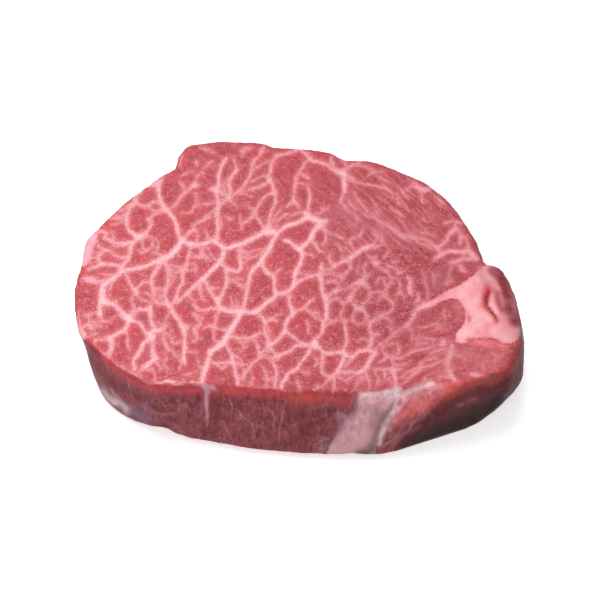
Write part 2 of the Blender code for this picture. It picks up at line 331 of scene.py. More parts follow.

# %% [markdown]
# ## The seams of fat
# Marbling is fat between bundles of muscle. The main seams branch like the veins of a leaf, are 1
# to 3 mm wide, and swell where they meet. Noise alone makes cells that are too even, so the
# seams are drawn one by one: each line below is one seam, with its width in pixels and the points
# that it passes through. A few are fainter, and give the amount after the width. The fine net
# between them comes from noise later.

# %% Draw the seams of the cut face
FACE_SEAMS = """
3.2 134,198 133,203 129,209 127,215 126,222 127,227 130,231 135,235 140,236 146,232 149,227 151,222 148,219
2.2 148,219 152,215 158,212 164,211
3.8 162,175 158,186 159,197 162,205 166,210 172,216 175,222 177,229 178,235 181,240
5.5 181,240 178,246 173,252 168,256 160,259
4.2 160,259 152,263 144,266 136,268 128,269 121,270
4.5 122,270 114,277 108,281 103,285 101,290 101,296 103,301
3.0 121,267 113,264 106,264 100,264 96,267 92,267 88,269
2.0 119,274 112,274 105,274 98,273
3.2 83,278 90,278 96,280 104,281
3.0 146,236 138,238 132,242 123,243 117,243 112,241 108,239 104,237 106,233 102,231 97,231
3.2 133,242 130,247 130,252 128,257 125,262 121,266
2.6 97,232 96,238 97,244 103,249 111,251 114,255 120,257 127,256
2.0 112,246 119,245 128,243
2.8 104,250 100,254 98,258 100,262 104,264
3.0 161,262 157,268 153,274 151,281 152,287 154,294
2.4 151,283 145,282 140,284 137,289 137,294 141,299 147,301 150,304
3.2 165,262 167,268 168,275 167,283 165,290 165,297 168,304
2.0 153,288 158,289 163,288
2.6 153,298 158,303 166,304
3.8 181,240 187,243 194,244 201,244 207,242 212,240
4.5 215,241 223,247 229,247 235,245 242,243 248,240 254,237 260,234 265,231
7.0 265,232 273,231
3.8 275,233 280,230 285,226 291,224 297,222 303,219 307,216
5.5 305,213 309,217 314,219 320,221 325,221
5.0 318,225 322,225
3.4 215,190 218,203 217,211 217,220 217,228 216,236 215,241
2.2 193,226 197,222 203,219 208,214 214,210 217,206
3.0 193,226 193,229 189,232 186,235 183,239
2.2 193,229 197,232 197,237 197,242
2.2 204,230 207,235 208,240
1.6 200,222 207,217 213,216
3.0 189,246 189,251 188,257 186,264 183,270 182,277 182,282 179,287 177,292 175,298 171,305
2.4 201,246 201,251 200,256
2.0 188,256 194,257 200,257 206,257 210,259
2.0 208,247 209,252 213,257 218,261
4.0 224,248 222,254 219,261 215,266 210,271 206,275 203,278
3.2 203,278 198,281 194,286 188,291 184,295 180,299 177,302
3.0 203,278 206,284 209,290 213,296 216,300
4.6 217,298 218,303 220,308
2.4 224,250 224,256 221,260
3.2 226,269 231,270 237,271 240,268 240,262 239,256 241,252
3.2 226,270 226,277 226,283 223,291 220,298
4.0 276,234 271,243 267,251 262,258 258,264 253,269 251,272
3.4 262,261 263,267 267,272 272,275 274,280 274,286 275,292
3.4 250,272 249,279 247,286 246,292 245,299 243,306
4.4 277,293 271,299 266,302 262,306 257,310 250,312 244,311
1.8 227,282 232,281 238,284 246,284
1.8 238,250 244,252 251,251 257,249 264,250
1.8 241,264 246,260 252,257 258,254 263,251
1.8 240,258 245,256 249,254
2.0 169,263 173,266 182,267
2.0 170,270 175,272 182,269
1.8 268,229 272,221 276,214 280,209
1.8 273,228 277,221 282,216 287,213
1.8 288,218 295,213 301,211
4.4 318,226 313,231 311,236 307,242 302,246 299,249
4.0 299,249 302,255 300,262 297,268 294,275 294,282 292,287 287,291 280,293
3.6 299,249 294,246 290,242 284,240
2.8 271,243 269,248 269,253
3.0 295,284 299,281 304,278 310,276 316,274
3.4 321,264 321,270 319,275 321,281 321,288 323,294 325,300
2.0 322,269 330,269 334,266
3.6 334,265 340,262 347,260 351,256 357,252 362,248 367,246
2.4 349,261 350,267 346,272 343,277
2.4 354,250 351,245 350,240 353,237
1.8 363,228 359,235 353,238
2.0 326,229 330,233 336,235 341,238 346,243
2.4 323,227 325,233 325,239 323,245
2.8 312,240 315,244 318,249
1.8 332,243 338,246 341,251 342,257
2.6 329,254 329,259 331,264
1.8 304,253 309,254 313,256
2.4 325,299 328,295 333,292 337,289 338,283 333,280 327,282
2.4 343,290 349,286 355,283 361,281 365,285 369,290
3.0 357,287 352,292 349,297
2.6 349,300 353,304 357,308 361,309
2.4 326,303 330,300 335,298 340,300 343,303 347,300
2.4 369,291 368,298 364,303 361,308
2.2 362,281 364,274 363,268 366,263
2.0 372,260 375,266 381,269
3.4:0.75 387,224 392,228 397,233 403,237
2.6 403,234 409,235 415,238 417,242
2.4:0.6 362,212 368,216 374,217 381,222 387,225
1.8:0.5 375,209 378,216
3.4 361,249 366,247 372,245
1.8 420,232 426,233 434,236
2.6 462,222 456,222 453,229 448,234 446,240 441,244 437,249 441,254
3.4 434,258 441,254 448,251 455,251 462,252 468,250 472,254 477,258
2.2 456,229 460,234 460,240 459,244
2.2 460,237 465,237 467,242 468,249
2.0 448,234 452,231 456,229
2.6 448,262 455,261 461,259 467,259 474,258
1.8 453,264 449,270 448,276 446,283
1.8 460,265 461,268 465,271
1.8 432,273 434,279 433,285
1.8 421,271 424,277 425,284 427,290 427,297
3.0 406,277 410,279 409,284
2.6 397,273 402,272
2.4 390,276 390,282 386,287 385,293 388,299 392,304 393,309
1.8 398,281 400,286 399,291
2.4 409,285 409,291 412,295
2.4 418,293 418,299 414,303
5.6 430,303 425,305 420,307
3.6:0.85 420,307 415,311 413,316 410,321 405,326
2.6:0.65 405,326 399,330 394,333 389,337 385,341 379,345 375,350
3.4 345,355 351,356 357,352 363,350 370,350 375,352
3.4 375,352 371,357 369,361 367,365 363,369 358,372
2.2 367,365 371,368 378,369 385,369 392,368 400,369
2.0 367,366 366,372 367,378 369,383 368,389
1.8 366,374 363,378 360,383
2.2 384,369 384,375 383,380
2.8 393,369 394,375 395,381 395,387
2.0 391,363 397,365 404,364 410,361
2.2 385,357 390,355 396,358 401,357 406,354 413,351 421,349 429,347 435,344
2.0 400,378 405,373 411,370 417,367 422,362 430,359 438,357
1.8 402,384 408,378 414,373 421,368 429,364
2.8 440,345 444,342 442,340
1.8 425,377 422,383 418,388
1.8 444,307 443,313 445,319
5.0:0.75 452,345 451,351 448,357 447,363 448,369
4.0:0.7 448,369 450,374 454,380
2.0 470,373 477,374 484,377
2.2 411,329 412,335 411,342
3.4 289,296 289,303 291,309 292,314 288,318 285,324 284,331
3.2 284,331 280,336 276,340 271,344 267,346
2.8 292,313 297,310 302,308 306,305 309,301 313,298
2.2 305,308 309,311 313,315 316,319
2.2 315,310 318,315 321,320
3.0 326,317 323,323 322,329 321,333 316,338
2.8 285,331 290,334 295,338 300,342 306,344 311,343
8.0 314,342 315,346
3.0 310,346 304,345 298,345 294,346 290,350 285,352 279,354 274,356
3.4 309,349 307,354 303,359 299,364 297,368 291,371 287,374 285,379 281,384 281,390
3.4 318,346 322,351 327,353 334,352 340,352 345,354
2.8 322,353 322,360 321,367 323,373 329,377
3.0 329,377 334,374 340,371 346,372 351,371 356,373 361,370
3.8 344,355 342,361 339,367 337,371
3.0 344,322 345,329 346,336 346,342 344,348 343,353
4.0 326,300 326,308 326,316
2.2 343,304 342,309 340,314 341,318 346,321
1.8 356,308 353,313 352,319 355,323 361,323 365,319
2.6 361,309 365,313 367,318 370,322 375,318 380,315 386,313 391,309
3.0 370,322 369,328 371,334 371,341 369,346 368,350
2.8 274,356 272,361 275,367 276,373 275,380 274,388
2.4 296,380 298,385 299,390
2.0 331,378 326,381 322,386
2.2 334,378 334,384 333,390
1.8 341,379 347,379 353,375
1.8 361,375 358,380 354,388
4.4 220,308 226,310 232,311 238,311
6.0 238,312 242,311
2.8 257,311 261,316 264,322 264,329 266,336 268,342
2.8 260,332 256,334 250,337 243,338 236,337 229,336
5.4 239,313 236,320 232,326 228,333 225,338 221,344 215,348 210,351
4.4 210,351 208,358 206,364 204,371 202,378 201,384
2.8 218,308 210,308 203,310 197,308 192,304
2.4 219,311 216,315 215,321 214,326 220,329 228,330
1.8 213,328 213,334 214,340 221,343
2.6 208,325 213,325
4.0 168,304 171,308 173,313 178,319 182,326
4.8 182,326 184,332
3.4 184,332 184,340 184,348 183,356 184,363
2.0 168,312 166,318 164,323
2.6 162,334 163,340 166,346 169,350
2.2 203,316 200,322 196,328
2.4 193,331 197,335 196,339
1.8 186,352 192,351 197,352
1.8 196,358 198,364 201,371
3.2 226,343 228,349 231,354 232,360 234,367 235,373 237,381 236,387
2.8 211,362 217,363 224,362 231,361
2.6 253,338 256,344 258,351 261,356
2.4 261,356 257,359 252,363 248,368 244,374 242,379
2.8 268,341 269,347 275,353
2.6 264,321 271,319 277,321
1.8 266,325 269,331 269,338
2.2 262,366 265,373 266,380 265,388
4.2 104,290 103,297 100,303 99,309 100,315
6.5 102,300 106,302
2.4 99,313 93,313 87,315 83,313
2.0 88,314 88,320 94,322 99,322
3.8 107,302 112,304 118,308 122,312 126,316
7.0 127,317 130,317
3.2 131,315 136,310 142,309 147,309 150,305
3.2 132,320 139,323 142,327 144,331 149,335
3.8 150,308 150,315 151,322 154,328 152,334
7.5 150,334 151,337
4.0 127,321 126,326 123,330 117,333 111,337
5.0 109,338 110,341
2.8 110,341 110,347 108,352 103,354 98,351 94,346 94,341 99,339 106,338
2.0 126,332 127,338 127,344 129,350
3.8 148,339 143,343 141,348 138,353 134,358 133,363 134,369
3.8 152,339 152,346 152,352 153,358 149,362 146,366
2.0 155,361 158,365 160,370
2.0 152,369 154,374 155,378
3.6 76,312 77,319 77,326 80,331 83,334
2.2 166,210 172,207 178,200 183,193 187,191 193,184 197,176 202,172
3.2 226,158 222,163 220,170 218,177 218,184 215,190
2.8 215,190 221,192 228,198
2.4 228,198 222,203 217,208
2.6 262,150 258,156 252,163 250,174 246,181 241,188 235,193 229,198
2.8 275,156 271,163 270,170 268,177 272,184 274,192 275,201 271,211 269,219 267,228
2.4 274,192 267,194 262,199 256,208 253,214 248,219 242,224 240,229
1.8 180,213 190,212 194,206 200,204 212,203 221,201
1.6 245,150 241,156
2.8 275,157 282,154 290,152 298,149 305,153 309,158 313,161 320,162 327,165 333,170 338,173
6.0 340,172 345,174
2.4 309,158 305,162 301,168 297,174 295,180 294,187 293,195 292,203
2.8 308,188 309,196 308,205 308,213
4.6:0.9 344,176 344,183 344,190
2.6:0.8 344,188 342,195 340,202
2.4:0.8 345,178 352,181 362,183 372,185 382,187 389,190 393,194
2.4 405,189 412,186 418,188 424,190 429,187
1.8 421,190 421,197 422,203
2.0 434,196 440,201 445,205
3.2 158,182 153,184 149,186
2.6 134,200 137,203 141,205 145,206 149,205
2.2 149,205 151,202 155,201 160,202
2.2 148,206 151,209 156,210 162,209
2.2 135,199 139,194 142,191
1.8 117,210 122,209 127,207
2.2 126,205 131,204
2.2 114,215 119,216 125,214
2.0 109,218 115,218 121,217
1.8 110,224 116,224 122,222
2.0 181,176 186,173 191,170
2.4 179,182 182,185 184,190
2.0 182,154 180,159 179,165
2.2 199,148 204,149 209,150 213,153
2.4 240,151 245,148 250,148
2.2 260,151 264,147
2.0 233,160 235,165 236,171
3.0 236,170 232,175 229,180 229,186 230,191 228,197
1.8 229,179 224,182 223,187 226,193
1.6 253,169 259,166 265,162 270,160
1.6 267,174 261,176 255,179 250,182
2.4 270,178 266,182 261,185 256,187 250,189 243,190
1.6 240,193 246,194 252,197
1.6 230,200 234,204 237,208
1.8 244,204 249,207 254,209
2.4 226,216 229,219 232,218
2.0 239,215 240,221 241,226
2.4 255,214 258,219 261,224 266,229
2.4 300,172 304,175 308,178
1.8 296,183 301,183 306,185
2.2 293,200 289,204 285,207
2.2 293,200 297,204 298,207
3.0 209,189 213,188 217,187
2.4 195,160 197,165
1.8 203,167 207,164 211,161
3.0 192,186 198,184
2.0 195,192 196,197 195,202
1.8 220,218 221,224 219,230
2.4 331,156 331,162 334,167 337,171
2.2 341,159 345,164 344,170
2.2 361,160 357,163 351,165 346,169
2.4 346,174 350,177 354,180
1.6 358,165 364,166 370,168 374,172
1.8 366,177 371,172 378,171 384,172
1.6 378,177 383,179 388,182
2.0 413,180 416,184 420,188
1.8 352,190 356,197 361,204 366,211 370,216
1.4 347,199 351,205 356,210
1.8 349,212 345,207 341,203
1.6 354,214 357,219 355,224
2.0 321,208 326,209 328,206
1.8 314,213 319,213 323,210
1.6 400,189 404,195 408,199
1.6 391,197 396,199 398,204
1.8 392,210 397,212 400,216
2.0 443,223 448,222 452,220
1.8 422,217 425,221
1.8 112,232 113,237 111,241
1.8 88,257 92,257 97,256 99,253
1.8 89,260 91,254 95,251
3.2 86,280 92,281 97,283
2.0 113,280 111,285 109,289
2.8 125,272 128,279 131,286 135,291
3.4 134,289 136,293
2.0 107,300 113,302 117,299
2.0 133,293 131,300 133,306 131,311
3.6 135,236 141,235
2.0 150,236 152,241 151,246 147,249 142,248
1.8 141,239 142,244 143,249
2.0 155,238 158,243 157,249
1.8 152,253 157,253 162,255
1.6 137,250 142,252 147,250
1.6 170,274 173,279 170,284
2.0 144,292 149,295 151,300
1.8 159,294 160,300
1.6 184,268 188,270 192,269
1.8 192,262 196,266 194,272
2.0 203,248 202,253 206,257
2.8 200,280 199,286 201,292
2.0 188,293 191,298 195,301
2.0 199,290 201,297 205,301
1.8 208,286 213,288 218,287
2.8 219,262 223,265 227,269
1.8 243,243 241,248 238,252
2.0 274,275 277,271 281,268
1.8 230,278 236,279 243,279
2.0 239,284 243,288
1.8 230,296 231,302 230,308
1.6 236,298 237,304 236,309
2.2 279,294 284,293 288,295
1.8 299,272 304,274 308,272
1.8 316,249 321,251 326,252
1.6 344,246 348,250 352,255
3.0 374,262 378,263
2.0 388,249 386,254 383,258
2.2 381,269 386,270 388,274
2.2 388,266 392,267 396,269
2.0 392,262 397,261
2.0 375,284 377,279 382,278 384,284
1.8 357,266 356,271 360,274
1.8 333,272 338,275 343,279
1.8 323,275 329,273 334,275
3.0 334,291 338,290
3.2 323,294 326,297
3.2 358,282 362,283
1.8 362,279 367,276 371,272
1.8 371,294 376,291 381,292
1.6 376,301 380,297 385,296
3.4 349,297 352,295
2.8 356,307 360,309
1.8 391,277 397,279
1.8 394,300 397,295 400,291 403,296 404,302
3.0 409,286 409,290
1.8 372,233 376,237 374,242
1.8 378,232 382,236 381,241
1.8 366,254 371,257 376,256
2.0 372,249 377,246 382,244
2.0 420,238 425,239 431,243
2.0 420,243 426,245 432,249
2.4 428,243 434,246 439,247
3.6 470,253 475,258
2.6 459,265 460,266
2.0 460,268 463,271
2.4 433,276 433,281
1.8 441,283 446,284 451,281
1.8 436,275 439,276
3.0 82,327 87,325 91,328
1.8 91,328 96,327 101,325
1.8 88,337 93,334 98,333
1.8 99,318 103,321 108,321 112,318
2.8 119,314 123,317 127,317
3.2 154,329 158,330 162,328
1.8 158,322 163,325 168,325
2.0 163,331 168,334 172,338
1.8 170,341 175,343 180,341
2.0 168,349 173,352 176,357
2.8 154,353 157,359
3.4 147,364 143,367
1.8 138,371 144,369 150,371
1.8 163,352 166,358 164,364 168,370
1.8 178,356 180,363 178,370
1.6 182,374 187,374 192,373
2.8 184,325 187,327
2.4 112,339 112,345 111,351 109,356
2.8 101,356 106,358
1.8 113,360 118,364 124,367
2.8 192,313 196,316 198,321
3.0 194,328 195,332
2.0 203,327 208,325
1.8 191,341 196,341
2.0 237,339 241,342 243,346 241,351
1.8 243,342 248,341 253,340
2.0 233,355 238,357 242,361
2.0 235,362 240,364 245,363
2.2 241,366 244,371 243,377
2.4 217,365 222,368 226,365
2.0 259,353 264,350 269,352
2.0 262,352 266,357 270,359
2.4 275,360 279,357
1.8 263,377 268,379 273,377
1.6 250,371 252,378 250,384
2.0 301,371 306,373 309,370
2.2 306,320 308,326 307,333
2.0 272,319 276,315 281,313
2.0 322,328 327,324 333,323
1.8 327,318 332,321 338,320
1.8 358,340 363,338 368,341
2.4 373,333 378,334
2.0 377,321 382,317 388,318 391,324 389,331
2.2 397,344 398,350 396,356
2.0 381,349 386,345 392,343
2.0 383,352 388,356 392,361
1.8 378,362 383,359
1.8 416,338 421,336 427,339
1.8 414,345 420,343 427,342
1.8 417,326 423,327 428,325
2.2 393,366 391,371
1.6 374,373 378,378 376,384
1.8 389,377 390,383
1.8 345,366 349,361 353,358
2.0 313,357 317,361 314,366
2.6 318,386 314,390 311,393
1.8 336,377 342,378
1.6 431,325 436,323 441,327
1.6 433,331 437,328 442,330
2.2 430,338 435,339
2.8 442,341 442,345
2.2 430,353 437,350 445,349
1.8 430,366 437,362 443,360
1.8 436,379 442,376 448,377
1.6 455,354 460,356 465,359
1.8 471,341 477,342 483,344
1.6 483,360 482,366 484,371
1.6 491,353 496,356 493,361
2.8 471,374 477,376 483,378
1.6 502,345 503,350
3.2:0.9 417,186 423,189 428,188
2.6:0.6 404,236 411,237 418,239
"""

# The wall shows the same seams from the side, as upright streaks of fat and pale sinew. Along the
# rim, a pale broken line is partly fat and partly a painted highlight where the rounded edge
# catches the light.
WALL_SEAMS = """
8.0 204,386 211,387
4.0 208,388 206,396 206,404
2.4 206,404 207,414 206,426
1.4 285,398 283,409 281,419 279,431 279,441
1.8 334,390 330,398 324,405 316,407 308,410
1.3 300,391 297,400 295,406
1.8 238,410 240,416 237,420
1.4 240,413 247,420 252,426 254,434 252,438
1.4 292,427 298,422 304,420
1.5 357,385 353,393 351,402
1.2 152,412 162,413 172,414
1.6 108,385 114,393 120,402
1.4 94,366 97,374 100,382
1.3 101,376 104,384 107,392
1.3 127,381 130,390 133,399
1.6 147,400 145,406 144,412
1.2 176,398 180,404 178,410
1.2 228,398 232,405 231,412
1.1 262,402 264,412 262,424
1.2 220,420 226,428 232,440
1.1 312,418 318,428 316,436
1.0 268,408 274,416 272,428
5.0 360,394 372,393 386,391 398,389
6.0 392,396 404,393 416,389 431,384
4.5 405,399 399,408 393,418 387,429
2.6 387,428 383,437 379,447
1.4 306,451 308,444 315,438 323,436 329,439
1.3 312,452 315,445 320,441
1.5 321,447 324,450
1.6 337,416 343,414 348,418
1.4 457,406 464,403
1.4 469,400 475,398
2.0 505,392 509,383 511,376
1.6 470,376 480,375 489,376
"""
RIM_FAT_AND_HIGHLIGHTS = """
1.5 118,366 122,368 128,370 134,374 139,376 143,380 148,383 160,382 175,381 188,382 201,382
1.2 240,385 256,386 272,388 288,391 302,391
"""
PIXEL_MIDDLE = 0.5
STEPS_PER_SPAN = 4
NEXT_TO_NOTHING = 1e-9


def pixels(pairs_of_pixels):
    """Pairs such as 12,34 as the rows of an array."""
    return np.array([[float(c) for c in pair.split(",")] for pair in pairs_of_pixels])


def read_strokes(text):
    """Each line as a width, an amount (1 where none is given) and a smooth curve, in pixels."""
    strokes = []
    for line in text.split("\n"):
        size, *pairs_of_pixels = line.split() or [""]
        if not pairs_of_pixels:
            continue
        width, amount = (float(v) for v in (size + ":1").split(":")[:2])
        p = pixels(pairs_of_pixels) + PIXEL_MIDDLE
        padded = np.vstack([2 * p[0] - p[1], p, 2 * p[-1] - p[-2]])
        a, b, c, d = (padded[k:len(padded) - 3 + k, None] for k in range(4))
        t = np.linspace(0, 1, STEPS_PER_SPAN, endpoint=False)[None, :, None]
        curve = 0.5 * (2 * b + (c - a) * t + (2 * a - 5 * b + 4 * c - d) * t**2
                       + (3 * b - a - 3 * c + d) * t**3)
        strokes.append((width, amount, np.vstack([curve.reshape(-1, 2), p[-1]])))
    return strokes


def near_box(spots, curve, margin):
    """Which spots lie in the box round a curve, with a margin."""
    inside = (spots > curve.min(0) - margin) & (spots < curve.max(0) + margin)
    return np.flatnonzero(inside.all(1))


def to_curve(spots, curve):
    """The step from each spot to the nearest point of a curve, and how far along it that lies."""
    start, step = curve[:-1], np.diff(curve, axis=0)
    gap = spots[:, None] - start
    along = np.clip((gap * step).sum(-1) / np.maximum((step**2).sum(-1), NEXT_TO_NOTHING), 0, 1)
    away = along[..., None] * step - gap
    nearest = (away**2).sum(-1).argmin(1)
    row = np.arange(len(spots))
    return away[row, nearest], (nearest + along[row, nearest]) / len(step)


print("seams to draw:", len(read_strokes(FACE_SEAMS + WALL_SEAMS)))

# %% Measure how far each point is from a seam
# Widths and gaps are in pixels. A seam's ends keep three quarters of its width, a fine one's less.
FAR = 16.0
WIDEN, FILLET = 1.12, 1.2
FINE, BROAD = 1.8, 4.2
END_TAPER, FINE_TAPER, BLUNTNESS = 0.25, 0.35, 0.6
FINE_FAINTNESS, HIDDEN_FAINTNESS, WALL_AMOUNT = 0.4, 0.45, 0.5
ON_FACE, ON_WALL = 0.5, 0.3

seam_gap = np.full(len(paper), FAR)
crowd = np.full(len(paper), NEXT_TO_NOTHING)
whiteness = np.full(len(paper), NEXT_TO_NOTHING)
strokes = ([(WIDEN * w, k, c, (wall < ON_FACE) | ~seen) for w, k, c in read_strokes(FACE_SEAMS)]
           + [(w, WALL_AMOUNT * k, c, (wall > ON_WALL) & seen)
              for w, k, c in read_strokes(WALL_SEAMS)]
           + [(w, k, c, seen) for w, k, c in read_strokes(RIM_FAT_AND_HIGHLIGHTS)])
for width, amount, curve, allowed in strokes:
    chosen = near_box(paper, curve, width / 2 + FAR)
    chosen = chosen[allowed[chosen]]
    step, along = to_curve(paper[chosen], curve)
    # A seam thins out towards both of its ends, a thin one more than a wide one.
    thin = smooth_step(BROAD, FINE, width)
    bare = 1 - np.sin(np.pi * along) ** BLUNTNESS
    gap = np.hypot(*step.T) - width / 2 * (1 - (END_TAPER + FINE_TAPER * thin) * bare)
    near = np.exp(-np.minimum(gap, 10 * FILLET) / FILLET)
    crowd[chosen] += near
    whiteness[chosen] += near * amount * (1 - FINE_FAINTNESS * thin)
    seam_gap[chosen] = np.minimum(seam_gap[chosen], gap)

# Where seams meet, the corners between them fill with fat.
seam_gap = np.minimum(-FILLET * np.log(crowd), seam_gap)
whiteness /= crowd
whiteness *= np.where(seen, 1, 1 - HIDDEN_FAINTNESS * wall)
print(len(strokes), "seams drawn;", round(100 * float((seam_gap[on_face] < 0).mean())),
      "% of the cut face is seam")

# %% [markdown]
# ## Solid fat
# Four places are fat all through: the lump at the right end with its tail, the wedge down the
# front wall, the flap at the left end and the trimmed fat at the front left of the foot. Each is
# an area with a border, so each is a closed shape. For every point the script works out how deep
# inside such a shape it lies, and the finish later makes the border ragged.

# %% Draw the areas of fat
FAT_AREAS = {
    "lump": "430,301 436,297 442,293 448,290 455,287 462,284 468,279 473,275 478,270 483,267 "
            "490,264 498,264 506,268 512,277 517,290 521,304 524,317 524,326 "
            "519,333 518,339 511,343 503,343 497,339 490,337 480,337 472,338 467,342 460,343 "
            "455,341 455,335 458,330 463,325 465,318 464,310 461,304 457,299 450,298 443,300 "
            "436,303 430,306",
    "wedge": "359,394 372,393 385,391 401,388 400,398 392,411 386,421 380,435 375,450 372,460 "
             "324,460 326,452 330,445 335,437 340,430 344,421 350,417 356,412 358,405",
    "flap": "101,228 97,234 96,239 94,246 91,253 89,259 86,265 78,268 74,250 84,238 92,230",
    "left_corner": "73,316 77,316 79,324 82,329 87,334 85,339 77,339 70,332",
}


def depth_in(chosen, text):
    """How far outside a closed shape the chosen points lie, in pixels, and below 0 inside it."""
    border = pixels(text.split()) + PIXEL_MIDDLE
    border = np.vstack([border, border[:1]])
    step, _ = to_curve(paper[chosen], border)
    x, y = paper[chosen].T[:, :, None]
    (x0, y0), (x1, y1) = border[:-1].T, border[1:].T
    level = np.where(y1 == y0, 1, y1 - y0)
    crosses = ((y0 > y) != (y1 > y)) & (x < (x1 - x0) * (y - y0) / level + x0)
    return np.hypot(*step.T) * np.where(crosses.sum(1) % 2, -1, 1)


# On a hidden wall solid fat tapers off as it goes down, by pixels for each millimetre, and the
# taper sets in softly where the wall turns away from the camera.
TAPER, TURNING, TURNED = 3.0, 0.3, 0.05

fat_depth = np.full(len(paper), FAR)
for text in FAT_AREAS.values():
    chosen = near_box(paper, pixels(text.split()), FAR)
    taper = TAPER * folded[chosen] * smooth_step(TURNING, TURNED, facing[chosen])
    fat_depth[chosen] = np.minimum(fat_depth[chosen], depth_in(chosen, text) + taper)
print("points in solid fat:", int((fat_depth < 0).sum()))
